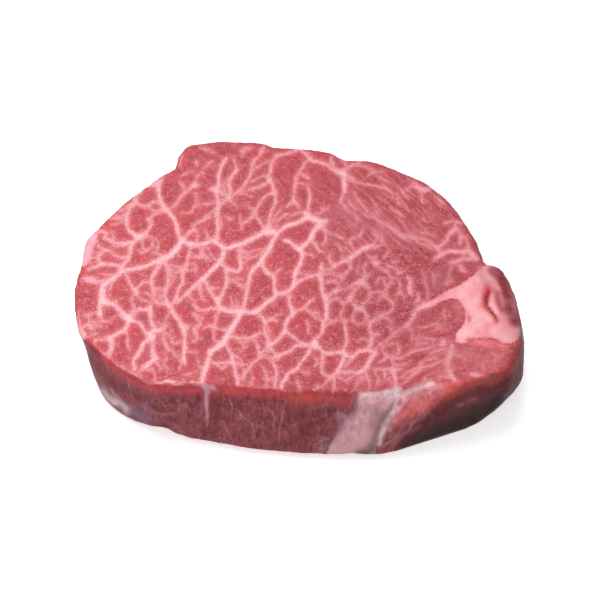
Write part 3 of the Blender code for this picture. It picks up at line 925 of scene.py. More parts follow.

# %% [markdown]
# ## Washes of colour
# Some changes of colour have a place of their own: light glows through the rim as a painted glow,
# sinew lies on the wedge, and blood reddens the lean round the slit. Other washes are painted
# shade: under the front rim, down the right of the wedge, in the slit, and nearly black on the
# trimmed right end. A few are painted highlights, on the slit's lip and along the rim. A painter
# would lay such changes over the whole in thin washes. Each wash is a colour with soft strokes,
# each with its reach in pixels, its amount and the points that it passes, and a later wash lies
# over an earlier one. The colours were chosen under this scene's light.

# %% Paint the washes
WASHES = [
    # Painted glow below the rim, where light comes through, and painted shade in maroon under it
    ("D24A50", "3:0.6 92,343 104,359 112,367 124,377 136,383 150,388",
      "4:0.75 150,387 170,389 198,389", "4.5:0.7 212,390 230,391 250,391 270,393 290,395 310,397",
      "5:0.55 310,397 330,397 346,399"),
    ("C85444", "5:0.5 290,399 302,401 318,400"),
    ("70262C", "7:0.75 91,352 96,366 102,376 112,384", "6:0.6 112,384 126,391 140,398",
      "9:0.45 214,402 216,418 212,430", "12:0.4 300,418 312,430 302,442"),
    ("6A3634", "2.2:0.5 96,366 101,376 105,388", "1.6:0.5 92,362 95,372"),
    ("D2A2AA", "1.4:0.3 110,388 116,396"),
    ("D8B8C0", "4:0.9 102,391 107,397 113,402", "3.6:0.85 113,402 119,406 126,411"),
    ("806080", "5:0.75 131,412 138,414 146,420", "3:0.5 144,404 146,410"),
    ("96606A", "1.6:0.7 152,411 160,414 172,413"),
    ("D8A4B8", "2.8:0.65 204,387 207,391", "1.7:0.55 206,391 206,404 207,417",
      "2.4:0.6 211,387 214,389"),
    ("A84250", "2.4:0.6 201,390 202,400"),
    ("B890A8", "3.5:0.7 338,414 343,417", "4:0.6 320,449 324,446", "2:0.4 321,440 326,438"),
    # The wedge: bluish where it is thin, with a pale rim; painted shade in tan and grey-brown lies
    # down its lower right and at its foot
    ("A87888", "3.5:0.7 361,397 357,409 349,419 342,427", "4:0.5 342,427 336,440"),
    ("DAA2AA", "9:0.8 366,402 362,415 354,428 346,441"),
    ("B08078", "5:0.7 377,400 376,412 372,424"),
    ("86605E", "4.5:0.75 386,410 380,422 375,434 370,444", "5:0.6 362,449 372,447"),
    ("FFC0C8", "5:0.5 363,400 372,399 382,399 393,399", "3.5:0.4 380,405 386,407"),
    ("463838", "3.5:0.8 358,452 370,450", "2.5:0.6 373,448 377,440"),
    ("A5646C", "1.8:0.6 393,403 388,411 383,418"),
    ("FFD8DE", "2.6:0.9 362,395 374,394 386,392 399,389", "3:0.7 388,398 396,396"),
    ("FFD6E2", "2.6:0.9 397,407 390,416 385,425 381,435 379,443"),
    ("FFB8C0", "2.6:0.7 404,396 402,404 397,412", "1.3:0.7 399,413 394,422 390,430"),
    ("FFD6DC", "3.0:0.95 396,395 404,393 414,390 424,387 431,384", "2.2:0.6 403,398 408,400"),
    # The trimmed facet
    ("FFA2AA", "5:0.8 406,398 414,396 424,392 436,389"),
    ("FF7C84", "6:0.8 412,403 424,399 436,394 446,389", "5:0.8 405,410 398,420"),
    ("FFB0B8", "3.6:0.8 413,396 419,395", "3:0.5 430,391 440,387"),
    ("F06A5E", "4.5:0.7 412,414 426,406 438,398 450,390"),
    ("B46064", "4:0.7 398,428 408,421 420,416"),
    ("FF8C92", "5:0.45 418,398 428,396 440,391"),
    ("84323A", "5:0.75 386,440 396,432 410,427 420,424"),
    ("C07C80", "1.3:0.7 383,446 392,440 402,434", "1.2:0.6 404,433 412,430 422,425",
      "1.2:0.6 410,424 420,418 428,412"),
    ("A04A52", "3.5:0.7 380,451 388,449"),
    ("C8787E", "2.5:0.5 388,436 396,434"),
    # The trimmed end: a painted glow along its rim, painted shade below it that is nearly black at the
    # foot, and a few pale streaks
    ("C4463A", "3:0.85 440,401 450,394 460,388 470,384", "2.5:0.8 470,384 486,383 498,378",
      "3:0.8 498,377 508,368 513,356 516,345"),
    ("F06E68", "2.8:0.7 452,388 462,382 474,379 486,377"),
    ("661216", "7:0.95 424,424 436,414 450,405 466,397 482,392", "6:0.95 482,392 496,387 506,380",
      "5:0.6 517,376 520,366"),
    ("400A0C", "8:0.85 410,440 428,430 446,421 464,412 482,404 496,397"),
    ("200608", "7:0.9 406,445 424,437 440,431 456,425 472,418 486,410 498,400",
      "6:0.95 404,452 424,444 440,438 456,432 474,422 490,411 503,397 511,385"),
    ("A86870", "1.8:0.6 457,404 462,403", "3:0.4 468,400 474,398"),
    ("70454E", "2.2:0.8 504,396 509,388 513,379 516,372", "1.6:0.4 430,424 433,414"),
    ("8C4A50", "3.0:0.6 517,350 519,360"),
    ("D0787E", "9:0.4 466,358 484,362 500,356"),
    # On the face: a mauve haze over the other muscle, and brighter lean by the lump
    ("CC7C88", "13:0.3 340,212 370,225 400,232"),
    ("AA5A62", "8:0.5 432,278 438,286 444,272"),
    ("D27074", "5:0.6 456,304 460,311 458,318"),
    ("CC7078", "5:0.6 438,317 444,326"),
    ("CC7076", "7:0.4 458,351 470,354 478,358"),
    ("E0787C", "5:0.6 434,372 442,370 450,367"),
    ("E2767C", "5:0.7 470,341 480,342 490,345 500,346"),
    # The lump: dull red beyond it, blood round the slit, painted shade down the slit and a painted
    # highlight on its lip
    ("983A44", "5:0.9 498,270 504,282 506,296 510,310 517,322",
      "6:0.95 506,272 514,290 519,306 522,318"),
    ("B43C42", "3:0.85 490,271 496,275 500,281"),
    ("C87880", "5.5:0.7 480,271 483,278 488,286", "6:0.5 505,330 515,334"),
    ("A03A42", "3.2:0.8 497,293 498,302 502,310"),
    ("8E343A", "5:0.9 492,271 499,278 504,290 508,300 507,310 513,321"),
    ("C42E38", "5:0.85 487,290 484.5,297 483.5,304"),
    ("C05C64", "3:0.6 493,289 496,296 499,303"),
    ("CC4A44", "3:0.85 485,306 488,311 493,316 496,321"),
    # Painted shade down the slit, then a painted highlight on its right lip
    ("961824", "1.8:0.95 488.5,292 487,298 486.5,303"),
    ("A03038", "1.2:0.9 490,308 493,312 496,317 497,321"),
    ("FFC8CC", "1.1:0.9 491,305.5 494,309.5 497,313"),
    ("B03440", "1.8:0.8 468.5,317.5 468.7,320.5", "1.8:0.6 467,339 471,341"),
    # Painted highlights: pale drops of moisture catching the light along the rim
    ("F4C8CE", "1.0:0.9 155,383 161,382 168,380", "1.2:0.8 168,380 175,383 182,383",
      "1.0:0.8 190,382 200,383"),
]
BRIGHT_FACET = ("404,394 412,391 430,385 440,383 453,385 446,394 438,402 431,411 423,420 412,430 "
                "402,438 390,449 378,458 374,458 376,452 380,446 386,436 392,427 400,415 408,404")
CREASES = """
2.2 97,352 103,364 110,376 120,390 130,404
1.8 447,397 438,405 430,414 420,424 408,434 396,445
1.8 158,416 164,424 168,434
"""
TAIL = 2.5
THINNEST = 1e-6
FACET_EDGE = 1.2
# The painted shade of the trimmed end goes on round the right, where the picture doesn't reach.
END_AT, END_WIDE, END_NARROW = -0.05, math.radians(45), math.radians(5)
END_SHADE_AMOUNT = 0.8


def colour(hex_value):
    """An sRGB hex value as a linear colour."""
    channels = [int(hex_value[k:k + 2], 16) / 255 for k in (0, 2, 4)]
    return [c / 12.92 if c <= 0.04045 else ((c + 0.055) / 1.055) ** 2.4 for c in channels] + [1]


def soft_mark(reach, curve):
    """The points near a curve, and a soft mark there from 0 to 1."""
    chosen = near_box(paper, curve, TAIL * reach)
    chosen = chosen[seen[chosen]]
    step, _ = to_curve(paper[chosen], curve)
    return chosen, np.exp(-(np.hypot(*step.T) / reach) ** 2)


paint, cover = np.zeros((len(paper), 3)), np.zeros(len(paper))
for hex_value, *texts in WASHES:
    for reach, amount, curve in read_strokes("\n".join(texts)):
        chosen, mark = soft_mark(reach, curve)
        mark = (amount * mark)[:, None]
        paint[chosen] = paint[chosen] * (1 - mark) + mark * colour(hex_value)[:3]
        cover[chosen] = cover[chosen] * (1 - mark[:, 0]) + mark[:, 0]
paint /= np.maximum(cover, THINNEST)[:, None]

creases = np.zeros(len(paper))
for reach, _, curve in read_strokes(CREASES):
    chosen, mark = soft_mark(reach, curve)
    creases[chosen] = np.maximum(creases[chosen], mark * wall[chosen])

facet_depth = depth_in(np.arange(len(paper)), BRIGHT_FACET)
bright_facet = smooth_step(FACET_EDGE, -FACET_EDGE, facet_depth) * seen
round_the_end = smooth_step(END_WIDE, END_NARROW, np.abs(direction - END_AT))
# Hidden wall round the right end: painted shade, carried on from the trimmed end
end_shade = np.where(seen, 0, round_the_end * END_SHADE_AMOUNT) * wall
print(len(WASHES), "washes painted on", int((cover > 0.5).sum()), "points")

# %% [markdown]
# ## Where the lean changes
# Lean isn't one red. It is brightest at the left, where the net of fat is dense, and turns to a
# dull mauve at the back right, where a different muscle shows its fibres. These changes have no
# borders, so they are set down as spots in the picture, and each point takes the mean of the
# spots round it, the nearest counting most.

# %% Spread the soft changes of tone
# Each spot holds x, y, brightness, strength of the fine net and strength of the fibres.
TONES = [
    (100, 250, 1.0, 1.0, 0.0), (110, 330, 0.9, 1.0, 0.0), (170, 200, 0.8, 0.8, 0.1),
    (210, 155, 0.6, 0.5, 0.5), (160, 165, 0.75, 0.6, 0.3), (255, 175, 0.6, 0.6, 0.3),
    (305, 150, 0.7, 0.5, 0.2), (210, 280, 0.9, 1.0, 0.0), (290, 250, 0.8, 0.8, 0.1),
    (300, 320, 0.75, 0.9, 0.0), (240, 360, 0.8, 0.9, 0.0), (165, 365, 0.85, 0.9, 0.1),
    (330, 190, 0.5, 0.4, 0.4), (370, 150, 0.6, 0.4, 0.3), (400, 165, 0.5, 0.5, 0.5),
    (375, 230, 0.35, 0.6, 1.0), (400, 215, 0.4, 0.6, 1.0), (430, 195, 0.4, 0.6, 0.8),
    (340, 240, 0.4, 0.6, 0.3), (380, 280, 0.2, 0.9, 0.2), (420, 270, 0.15, 0.8, 0.3),
    (440, 240, 0.35, 0.7, 0.3), (462, 270, 0.4, 0.3, 0.2), (400, 320, 0.25, 0.8, 0.2),
    (360, 305, 0.25, 0.9, 0.1), (447, 315, 0.35, 0.8, 0.2), (430, 355, 0.45, 0.3, 0.7),
    (420, 380, 0.6, 0.2, 0.7), (482, 360, 0.6, 1.0, 0.4), (340, 350, 0.55, 0.8, 0.1),
    (330, 380, 0.6, 0.7, 0.2), (500, 350, 0.6, 1.0, 0.4),
]
SPOT_REACH = 20.0

weights = np.stack([np.exp(-((paper - spot[:2]) ** 2).sum(1) / (2 * SPOT_REACH**2))
                    + NEXT_TO_NOTHING for spot in TONES], axis=1)
weights /= weights.sum(1, keepdims=True)
bright, net, fibre = (weights @ np.array([spot[k] for spot in TONES]) for k in (2, 3, 4))
fibre = np.maximum(fibre * (1 - wall), bright_facet)

# Which way the fibres run in the picture, whose rows are numbered from the top down
MUSCLE_BORDER = 262
DOWN_RIGHT, UP_RIGHT, DOWN_LEFT = [0.72, 0.69], [0.92, -0.38], [-0.62, 0.78]
on_facet = bright_facet[:, None] > 0.05
lie = np.where(paper[:, 1:] < MUSCLE_BORDER, DOWN_RIGHT, UP_RIGHT)
lie = np.where(on_facet, DOWN_LEFT, lie)
along_fibres = (paper * lie).sum(1) * PIXEL
across_fibres = (paper * lie[:, ::-1] * [1, -1]).sum(1) * PIXEL
print("brightness of the lean from", round(bright.min(), 2), "to", round(bright.max(), 2))

# %% [markdown]
# ## Low relief
# A knife leaves a cut face nearly flat, but muscle swells a little between the seams, and the
# wall, which was pulled and not cut, is stringy from top to bottom. The skin's points move along
# its own direction by tenths of a millimetre, so the relief is real and shows in the outline. A
# few larger swells and dents follow the photograph, and the slit is pressed in last, with a raised
# lip on either side.

# %% Raise the relief
# Each swell or dent holds x, y and its half widths in pixels, and its height in millimetres.
SWELLS = [(498, 266, 12, 10, 1.45), (90, 238, 7, 12, 0.35), (190, 148, 10, 6, 0.7),
          (524, 384, 14, 16, 1.8), (478, 306, 22, 24, 0.6)]
DENTS = [(164, 428, 4.5, 5, 1.6), (119, 406, 10, 8, 0.9)]
# Each ripple holds its height and its length in millimetres, and a seed.
BUMPS = [(0.12, 3.2, 4), (0.07, 1.5, 5)]
STRINGS = [(0.22, (2.4, 2.4, 16), 6), (0.3, (8, 8, 14), 7)]
FURROW_HEIGHT, FURROW_LENGTH, FURROW_WIDTH = 0.3, 6.0, 1.6
LEAN_SWELL, LEAN_EDGE, LEAN_TOP = 0.16, -0.2, 1.6
WALL_BUMPS, WALL_FAT, CREASE = 0.6, 0.5, 0.25
FAT_OUTSIDE, FAT_INSIDE = 4, -8


def ripples(waves):
    """The sum of some ripples over the skin."""
    return sum(height * ripple(where, length, seed) for height, length, seed in waves)


def soft_spots(spots):
    """Soft round marks from x, y, their half widths across and down, and an amount."""
    total = np.zeros(len(paper))
    for x, y, across, down, amount in spots:
        away = -((paper[:, 0] - x) / across) ** 2 - ((paper[:, 1] - y) / down) ** 2
        total += amount * np.exp(away)
    return total


gap_mm = np.minimum(seam_gap, fat_depth) * PIXEL
bumps = ripples(BUMPS)
furrow_place = np.stack([along_fibres / FURROW_LENGTH, across_fibres / FURROW_WIDTH, 0 * fibre], 1)
relief = (1 - wall) * (LEAN_SWELL * smooth_step(LEAN_EDGE, LEAN_TOP, gap_mm) + bumps)
relief += wall * (WALL_BUMPS * bumps + ripples(STRINGS))
relief += FURROW_HEIGHT * fibre * ripple(furrow_place, 1, 8)
relief += wall * WALL_FAT * smooth_step(FAT_OUTSIDE, FAT_INSIDE, fat_depth) - CREASE * creases
relief += soft_spots(SWELLS) - soft_spots(DENTS) * seen

# %% Press in the slit
SLIT = "1 488.5,292 487,297 486.3,303 488.5,307.5 491,311 494,314 496.5,318 497.5,321"
SLIT_DEPTH, SLIT_WIDTH = 1.3, 0.45
LIP_HEIGHT, LIP_AT, LIP_WIDTH = 0.35, 1.7, 1.0
FOOT_FADE = 1.5

(_, _, slit_curve), = read_strokes(SLIT)
step, along = to_curve(paper, slit_curve)
slit_gap = np.hypot(*step.T) * PIXEL
open_here = np.sin(np.pi * np.clip(along, 0, 1)) ** 0.5 * seen
relief += open_here * LIP_HEIGHT * np.exp(-((slit_gap - LIP_AT) / LIP_WIDTH) ** 2)
relief -= open_here * SLIT_DEPTH * np.exp(-((slit_gap / SLIT_WIDTH) ** 2))

where = where + normal * (relief * smooth_step(0, FOOT_FADE, where[:, 2]))[:, None]
normal = outward(where)
mesh.polygons.foreach_set("use_smooth", np.ones(len(mesh.polygons), bool))
mesh.update()
print("relief from", round(relief.min(), 2), "to", round(relief.max(), 2), "mm")

# %% Keep the drawing on the skin
BARELY_OPEN = 0.05


def keep(name, *columns):
    """Stores up to three values for each point as a vector attribute."""
    values = np.zeros((len(where), 3), np.float32)
    for k, column in enumerate(columns):
        values[:, k] = column
    mesh.attributes.new(name, "FLOAT_VECTOR", "POINT").data.foreach_set("vector", values.ravel())


keep("seam", seam_gap * PIXEL, whiteness, fat_depth * PIXEL)
keep("lean", bright, net, fibre)
keep("paint", *paint.T)
keep("over", cover, wall, slit_gap / np.maximum(open_here, BARELY_OPEN))
# The fibres vector also carries the painted shade round the hidden right end as its third value
keep("fibres", across_fibres, along_fibres, end_shade)
print("vectors kept on the skin:", [a.name for a in mesh.attributes if a.data_type == "FLOAT_VECTOR"])

# %% [markdown]
# ## Raw beef
# Raw beef is wet muscle: red from its pigment, a little translucent, and glossy where moisture
# lies on it. Light goes in a millimetre or so and comes out redder. One Principled shader does
# this with subsurface scattering and a roughness around 0.45. Its colour comes from layers:
# mottled lean, a faint fine net, the drawn seams, and the solid fat on top.

# %% A helper for finishes
raw_beef = bpy.data.materials.new("raw_beef")
raw_beef.use_nodes = True
nt = raw_beef.node_tree
nt.nodes.clear()


# A Map Range takes its value, the two ends of its range and the two ends it turns them into as
# sockets 0 to 4. A Mix takes its factor as 0, numbers as 2 and 3, and colours as 6 and 7.
def add(kind, sockets=None, **settings):
    """Adds a node with its settings, and links or sets its sockets. A node gives its first output."""
    node = nt.nodes.new(kind)
    for name, value in settings.items():
        setattr(node, name, value)
    for key, value in (sockets or {}).items():
        if isinstance(value, bpy.types.Node):
            value = value.outputs[0]
        if isinstance(value, bpy.types.NodeSocket):
            nt.links.new(value, node.inputs[key])
        else:
            node.inputs[key].default_value = value
    return node


print("raw beef starts with", len(nt.nodes), "nodes")

# %% [markdown]
# ## Reading the drawing
# The shader works in millimetres. The position is stirred with noise first, because nothing in
# meat runs straight.

# %% What the skin carries
def carried_by(name):
    """The three values that the skin keeps under a name."""
    values = add("ShaderNodeAttribute", attribute_name=name).outputs["Vector"]
    return add("ShaderNodeSeparateXYZ", {0: values}).outputs


STIR_SCALE, STIR_BY = 0.28, (3.0, 3.0, 3.0)
object_place = add("ShaderNodeTexCoord").outputs["Object"]
place = add("ShaderNodeVectorMath", {0: object_place, "Scale": 1 / MM}, operation="SCALE")
stir = add("ShaderNodeTexNoise", {"Vector": place, "Scale": STIR_SCALE, "Detail": 2.0})
stir = add("ShaderNodeVectorMath", {0: stir.outputs["Color"], 1: (0.5, 0.5, 0.5)}, operation="SUBTRACT")
stirred = add("ShaderNodeVectorMath", {0: stir, 1: STIR_BY, 2: place}, operation="MULTIPLY_ADD")

seam_gap_mm, seam_white, fat_gap_mm = carried_by("seam")
redness, net_amount, fibre_amount = carried_by("lean")
wash_cover, on_the_wall, slit_gap_mm = carried_by("over")
end_shade_amount = carried_by("fibres")[2]
wash_colour = add("ShaderNodeAttribute", attribute_name="paint").outputs["Vector"]
fibre_place = add("ShaderNodeAttribute", attribute_name="fibres").outputs["Vector"]
print("nodes so far:", len(nt.nodes))

# %% [markdown]
# ## Ragged edges
# Fat grows between the fibres at a seam's border in small teeth under a millimetre long. Two
# noises, one of small teeth and one of slower sways, move the border in and out.

# %% The masks of fat
TOOTH_SIZE, SWAY_SIZE = 0.8, 2.5

teeth = add("ShaderNodeTexNoise", {"Vector": place, "Scale": 1 / TOOTH_SIZE, "Detail": 1.0})
sway = add("ShaderNodeTexNoise", {"Vector": place, "Scale": 1 / SWAY_SIZE, "Detail": 1.0})
teeth = add("ShaderNodeMath", {0: teeth, 1: 1.4, 2: -0.7}, operation="MULTIPLY_ADD")
ragged = add("ShaderNodeMath", {0: sway, 1: 0.8, 2: teeth}, operation="MULTIPLY_ADD")
border = add("ShaderNodeMath", {0: seam_gap_mm, 1: ragged}, operation="ADD")
seam_mask = add("ShaderNodeMapRange", {0: border, 1: 0.85, 2: 0.1}, interpolation_type="SMOOTHSTEP")
seam_core = add("ShaderNodeMapRange", {0: border, 1: 0.3, 2: -0.5}, interpolation_type="SMOOTHSTEP")
fat_border = add("ShaderNodeMath", {0: fat_gap_mm, 1: ragged}, operation="ADD")
fat_mask = add("ShaderNodeMapRange", {0: fat_border, 1: 0.9, 2: -0.1}, interpolation_type="SMOOTHSTEP")
print("nodes so far:", len(nt.nodes))

# %% [markdown]
# ## The fine net
# Between the drawn seams, thinner fat runs round bundles about 3 mm across. It is the line along
# which a noise crosses its middle value, stretched along the thickness, as bundles are, and it
# fades in and out. Here and there lies a pale fleck about a millimetre wide, partly fat and partly
# a painted highlight standing in for a small glint of moisture. Inside a bundle the fibres make
# short wavy stripes, a noise squeezed one way after a slow swirl has turned it. Each scale is one
# over the real size in millimetres.

# %% The net, the flecks and the grain
VEIN_SIZE, FADE_SIZE, FLECK_AND_GLINT_SIZE, SWIRL_SIZE = 2.6, 3.0, 0.9, 8.0
GRAIN_SIZE, MOTTLE_SIZE, PATCH_SIZE = 0.8, 4.5, 2.4
ALONG_BUNDLES, SWIRL_BY, ALONG_STRIPES = (1, 1, 0.3), (14.0, 14.0, 0.0), (0.4, 1.0, 0.3)

bundle_place = add("ShaderNodeVectorMath", {0: stirred, 1: ALONG_BUNDLES}, operation="MULTIPLY")
veins = add("ShaderNodeTexNoise", {"Vector": bundle_place, "Scale": 1 / VEIN_SIZE, "Detail": 1.5,
                                   "Roughness": 0.6})
veins = add("ShaderNodeMath", {0: veins, 1: 0.5}, operation="SUBTRACT")
veins = add("ShaderNodeMath", {0: veins}, operation="ABSOLUTE")
veins = add("ShaderNodeMapRange", {0: veins, 1: 0.04, 2: 0.005}, interpolation_type="SMOOTHSTEP")
fade = add("ShaderNodeTexNoise", {"Vector": place, "Scale": 1 / FADE_SIZE, "Detail": 1.0})
fade = add("ShaderNodeMapRange", {0: fade, 1: 0.42, 2: 0.6}, interpolation_type="SMOOTHSTEP")
cell_net = add("ShaderNodeMath", {0: veins, 1: fade}, operation="MULTIPLY")
# Flecks: partly fat, partly painted highlights of small moisture glints
flecks_and_glints = add("ShaderNodeTexNoise", {"Vector": bundle_place, "Scale": 1 / FLECK_AND_GLINT_SIZE, "Detail": 1.0,
                                    "Distortion": 0.6})
flecks_and_glints = add("ShaderNodeMapRange", {0: flecks_and_glints, 1: 0.58, 2: 0.72, 4: 0.7},
             interpolation_type="SMOOTHSTEP")
cell_net = add("ShaderNodeMath", {0: cell_net, 1: flecks_and_glints}, operation="MAXIMUM")
cell_net = add("ShaderNodeMath", {0: cell_net, 1: net_amount}, operation="MULTIPLY")

swirl = add("ShaderNodeTexNoise", {"Vector": place, "Scale": 1 / SWIRL_SIZE, "Detail": 0.0})
striped = add("ShaderNodeVectorMath", {0: swirl.outputs["Color"], 1: SWIRL_BY, 2: place},
              operation="MULTIPLY_ADD")
striped = add("ShaderNodeVectorMath", {0: striped, 1: ALONG_STRIPES}, operation="MULTIPLY")
stripes = add("ShaderNodeTexNoise", {"Vector": striped, "Scale": 1.0, "Detail": 1.0})
grain = add("ShaderNodeTexNoise", {"Vector": bundle_place, "Scale": 1 / GRAIN_SIZE, "Detail": 2.0,
                                   "Roughness": 0.6})
grain = add("ShaderNodeMix", {0: 0.35, 2: grain, 3: stripes})
grain = add("ShaderNodeMapRange", {0: grain, 1: 0.28, 2: 0.72})
mottle = add("ShaderNodeTexNoise", {"Vector": stirred, "Scale": 1 / MOTTLE_SIZE, "Detail": 2.0})
mottle = add("ShaderNodeMapRange", {0: mottle, 1: 0.35, 2: 0.65})
patches = add("ShaderNodeTexNoise", {"Vector": bundle_place, "Scale": 1 / PATCH_SIZE, "Detail": 2.0,
                                     "Roughness": 0.6})
print("nodes so far:", len(nt.nodes))

# %% [markdown]
# ## Fibres
# In the mauve muscle and on the bright facet, the knife met the fibres at a slant, so they show
# as streaks. The skin carries two lengths, across and along the fibres. A noise that changes
# fast across them and slowly along them makes the streaks. On the wall the strings run from top
# to bottom.

# %% Streaks
ACROSS_AND_ALONG, UP_THE_WALL = (0.7, 0.13, 1), (0.8, 0.8, 0.2)

turned = add("ShaderNodeVectorMath", {0: fibre_place, 1: ACROSS_AND_ALONG}, operation="MULTIPLY")
streaks = add("ShaderNodeTexNoise", {"Vector": turned, "Scale": 1.0, "Detail": 2.5,
                                     "Distortion": 0.35})
streaks = add("ShaderNodeMapRange", {0: streaks, 1: 0.42, 2: 0.66}, interpolation_type="SMOOTHSTEP")
streak_part = add("ShaderNodeMath", {0: streaks, 1: fibre_amount}, operation="MULTIPLY")
upright = add("ShaderNodeVectorMath", {0: stirred, 1: UP_THE_WALL}, operation="MULTIPLY")
strings = add("ShaderNodeTexNoise", {"Vector": upright, "Scale": 1.0, "Detail": 3.0,
                                     "Roughness": 0.65})
strings = add("ShaderNodeMapRange", {0: strings, 1: 0.32, 2: 0.68})
print("nodes so far:", len(nt.nodes))

# %% [markdown]
# ## Lean
# The red pigment is brightest where air reaches it, beside the seams and in small patches, and
# duller in the middle of a bundle. Toward the back right the whole muscle is duller.

# %% The colour of the lean
LEAN_DEEP, LEAN_RED = colour("AE2F39"), colour("D45F67")
LEAN_MAUVE, LEAN_DULL = colour("8A2934"), colour("AE4952")
FRESH_RED, BUNDLE_EDGE, DULL_PATCH = colour("DC4446"), colour("E48A92"), colour("A4384A")

deep = add("ShaderNodeMix", {0: redness, 6: LEAN_MAUVE, 7: LEAN_DEEP}, data_type="RGBA").outputs[2]
light = add("ShaderNodeMix", {0: redness, 6: LEAN_DULL, 7: LEAN_RED}, data_type="RGBA").outputs[2]
flesh = add("ShaderNodeMix", {0: grain, 6: deep, 7: light}, data_type="RGBA").outputs[2]
dull_part = add("ShaderNodeMapRange", {0: patches, 1: 0.48, 2: 0.34, 4: 0.5},
                interpolation_type="SMOOTHSTEP")
beside_seam = add("ShaderNodeMapRange", {0: border, 1: 3.5, 2: 0.6, 3: 0.3, 4: 1.0},
                  interpolation_type="SMOOTHSTEP")
fresh_part = add("ShaderNodeMapRange", {0: patches, 1: 0.5, 2: 0.66, 4: 0.6},
                 interpolation_type="SMOOTHSTEP")
fresh_part = add("ShaderNodeMath", {0: beside_seam, 1: fresh_part}, operation="MULTIPLY")
fresh_part = add("ShaderNodeMath", {0: fresh_part, 1: redness}, operation="MULTIPLY")
halo = add("ShaderNodeMapRange", {0: border, 1: 2.0, 2: 0.3, 4: 0.4}, interpolation_type="SMOOTHSTEP")
halo = add("ShaderNodeMath", {0: halo, 1: seam_white}, operation="MULTIPLY")
face_streaks = add("ShaderNodeMath", {0: streak_part, 1: 0.5}, operation="MULTIPLY")
# Each layer holds its mask and its colour, and lies over the one before.
lean_layers = ((dull_part, DULL_PATCH), (fresh_part, FRESH_RED), (halo, BUNDLE_EDGE),
               (face_streaks, BUNDLE_EDGE))
for part, layer in lean_layers:
    flesh = add("ShaderNodeMix", {0: part, 6: flesh, 7: layer}, data_type="RGBA").outputs[2]
print("nodes so far:", len(nt.nodes))

# %% [markdown]
# ## The wall
# The wall has been in the air longer than the cut face, so it has darkened to maroon and is finely
# mottled. Painted shade makes it nearly black where it meets the table and round the hidden right
# end. Below the rim, light comes through the corner of the meat and reddens it, as a painted
# glow.

# %% The colour of the wall
WALL_LIGHT, WALL_DARK, WALL_GLOW = colour("AC5860"), colour("4C141B"), colour("A4424A")
END_SHADE_COLOUR, FOOT_SHADE = colour("4A1E20"), colour("1C1214")

height = add("ShaderNodeSeparateXYZ", {0: place}).outputs[2]
shades = add("ShaderNodeMix", {0: 0.4, 2: strings, 3: grain})
shades = add("ShaderNodeMix", {0: 0.25, 2: shades, 3: mottle})
strung = add("ShaderNodeMix", {0: shades, 6: WALL_DARK, 7: WALL_LIGHT}, data_type="RGBA").outputs[2]
under_rim = add("ShaderNodeMath", {0: mottle, 1: 5.0, 2: height}, operation="MULTIPLY_ADD")
under_rim = add("ShaderNodeMapRange", {0: under_rim, 1: 23.0, 2: 31.0, 4: 0.55},
                interpolation_type="SMOOTHSTEP")
# Painted glow below the rim, and painted shade round the hidden right end
for part, layer in ((under_rim, WALL_GLOW), (end_shade_amount, END_SHADE_COLOUR)):
    strung = add("ShaderNodeMix", {0: part, 6: strung, 7: layer}, data_type="RGBA").outputs[2]
flesh = add("ShaderNodeMix", {0: on_the_wall, 6: flesh, 7: strung}, data_type="RGBA").outputs[2]
print("nodes so far:", len(nt.nodes))

# %% [markdown]
# ## Fat
# Beef fat is creamy when cold and dry, but on a fresh slice it is wet with juice and looks pink.
# A thin seam lets the lean below shine through, so only the wide ones are pale, and palest in
# their middle. On the wall the seams are old and faint.

# %% The colour of the fat
FAT_PINK, FAT_PALE = colour("EB979F"), colour("F3BFC7")
FAT_DEEP, FAT_SOFT, FAT_DRY = colour("EE939B"), colour("F6B8BF"), colour("D8A4AA")
CLOUD_SIZE = 5.0

net_part = add("ShaderNodeMath", {0: cell_net, 1: 0.6}, operation="MULTIPLY")
off_wall = add("ShaderNodeMapRange", {0: on_the_wall, 1: 0.0, 2: 1.0, 3: 1.0, 4: 0.4})
net_part = add("ShaderNodeMath", {0: net_part, 1: off_wall}, operation="MULTIPLY")
seam_colour = add("ShaderNodeMix", {0: seam_core, 6: FAT_PINK, 7: FAT_PALE}, data_type="RGBA").outputs[2]
seam_part = add("ShaderNodeMath", {0: seam_mask, 1: seam_white}, operation="MULTIPLY")
in_the_dull = add("ShaderNodeMapRange", {0: redness, 1: 0.3, 2: 0.9, 3: 0.74, 4: 1.0})
seam_part = add("ShaderNodeMath", {0: seam_part, 1: in_the_dull}, operation="MULTIPLY")
cloud = add("ShaderNodeTexNoise", {"Vector": place, "Scale": 1 / CLOUD_SIZE, "Detail": 4.0})
cloud = add("ShaderNodeMapRange", {0: cloud, 1: 0.35, 2: 0.65})
solid_fat = add("ShaderNodeMix", {0: cloud, 6: FAT_DEEP, 7: FAT_SOFT}, data_type="RGBA").outputs[2]
solid_fat = add("ShaderNodeMix", {0: on_the_wall, 6: solid_fat, 7: FAT_DRY}, data_type="RGBA").outputs[2]
body = flesh
for part, layer in ((net_part, FAT_PINK), (seam_part, seam_colour), (fat_mask, solid_fat)):
    body = add("ShaderNodeMix", {0: part, 6: body, 7: layer}, data_type="RGBA").outputs[2]
print("nodes so far:", len(nt.nodes))

# %% [markdown]
# ## Laying on the washes
# The painted washes go over everything. The grain stays visible through them, as darker and
# lighter marks, and the streaks of the trimmed facet lie on top.

# %% The washes, the foot and the slit
SLIT_RED, STREAK_PALE = colour("8C1420"), colour("E0969C")

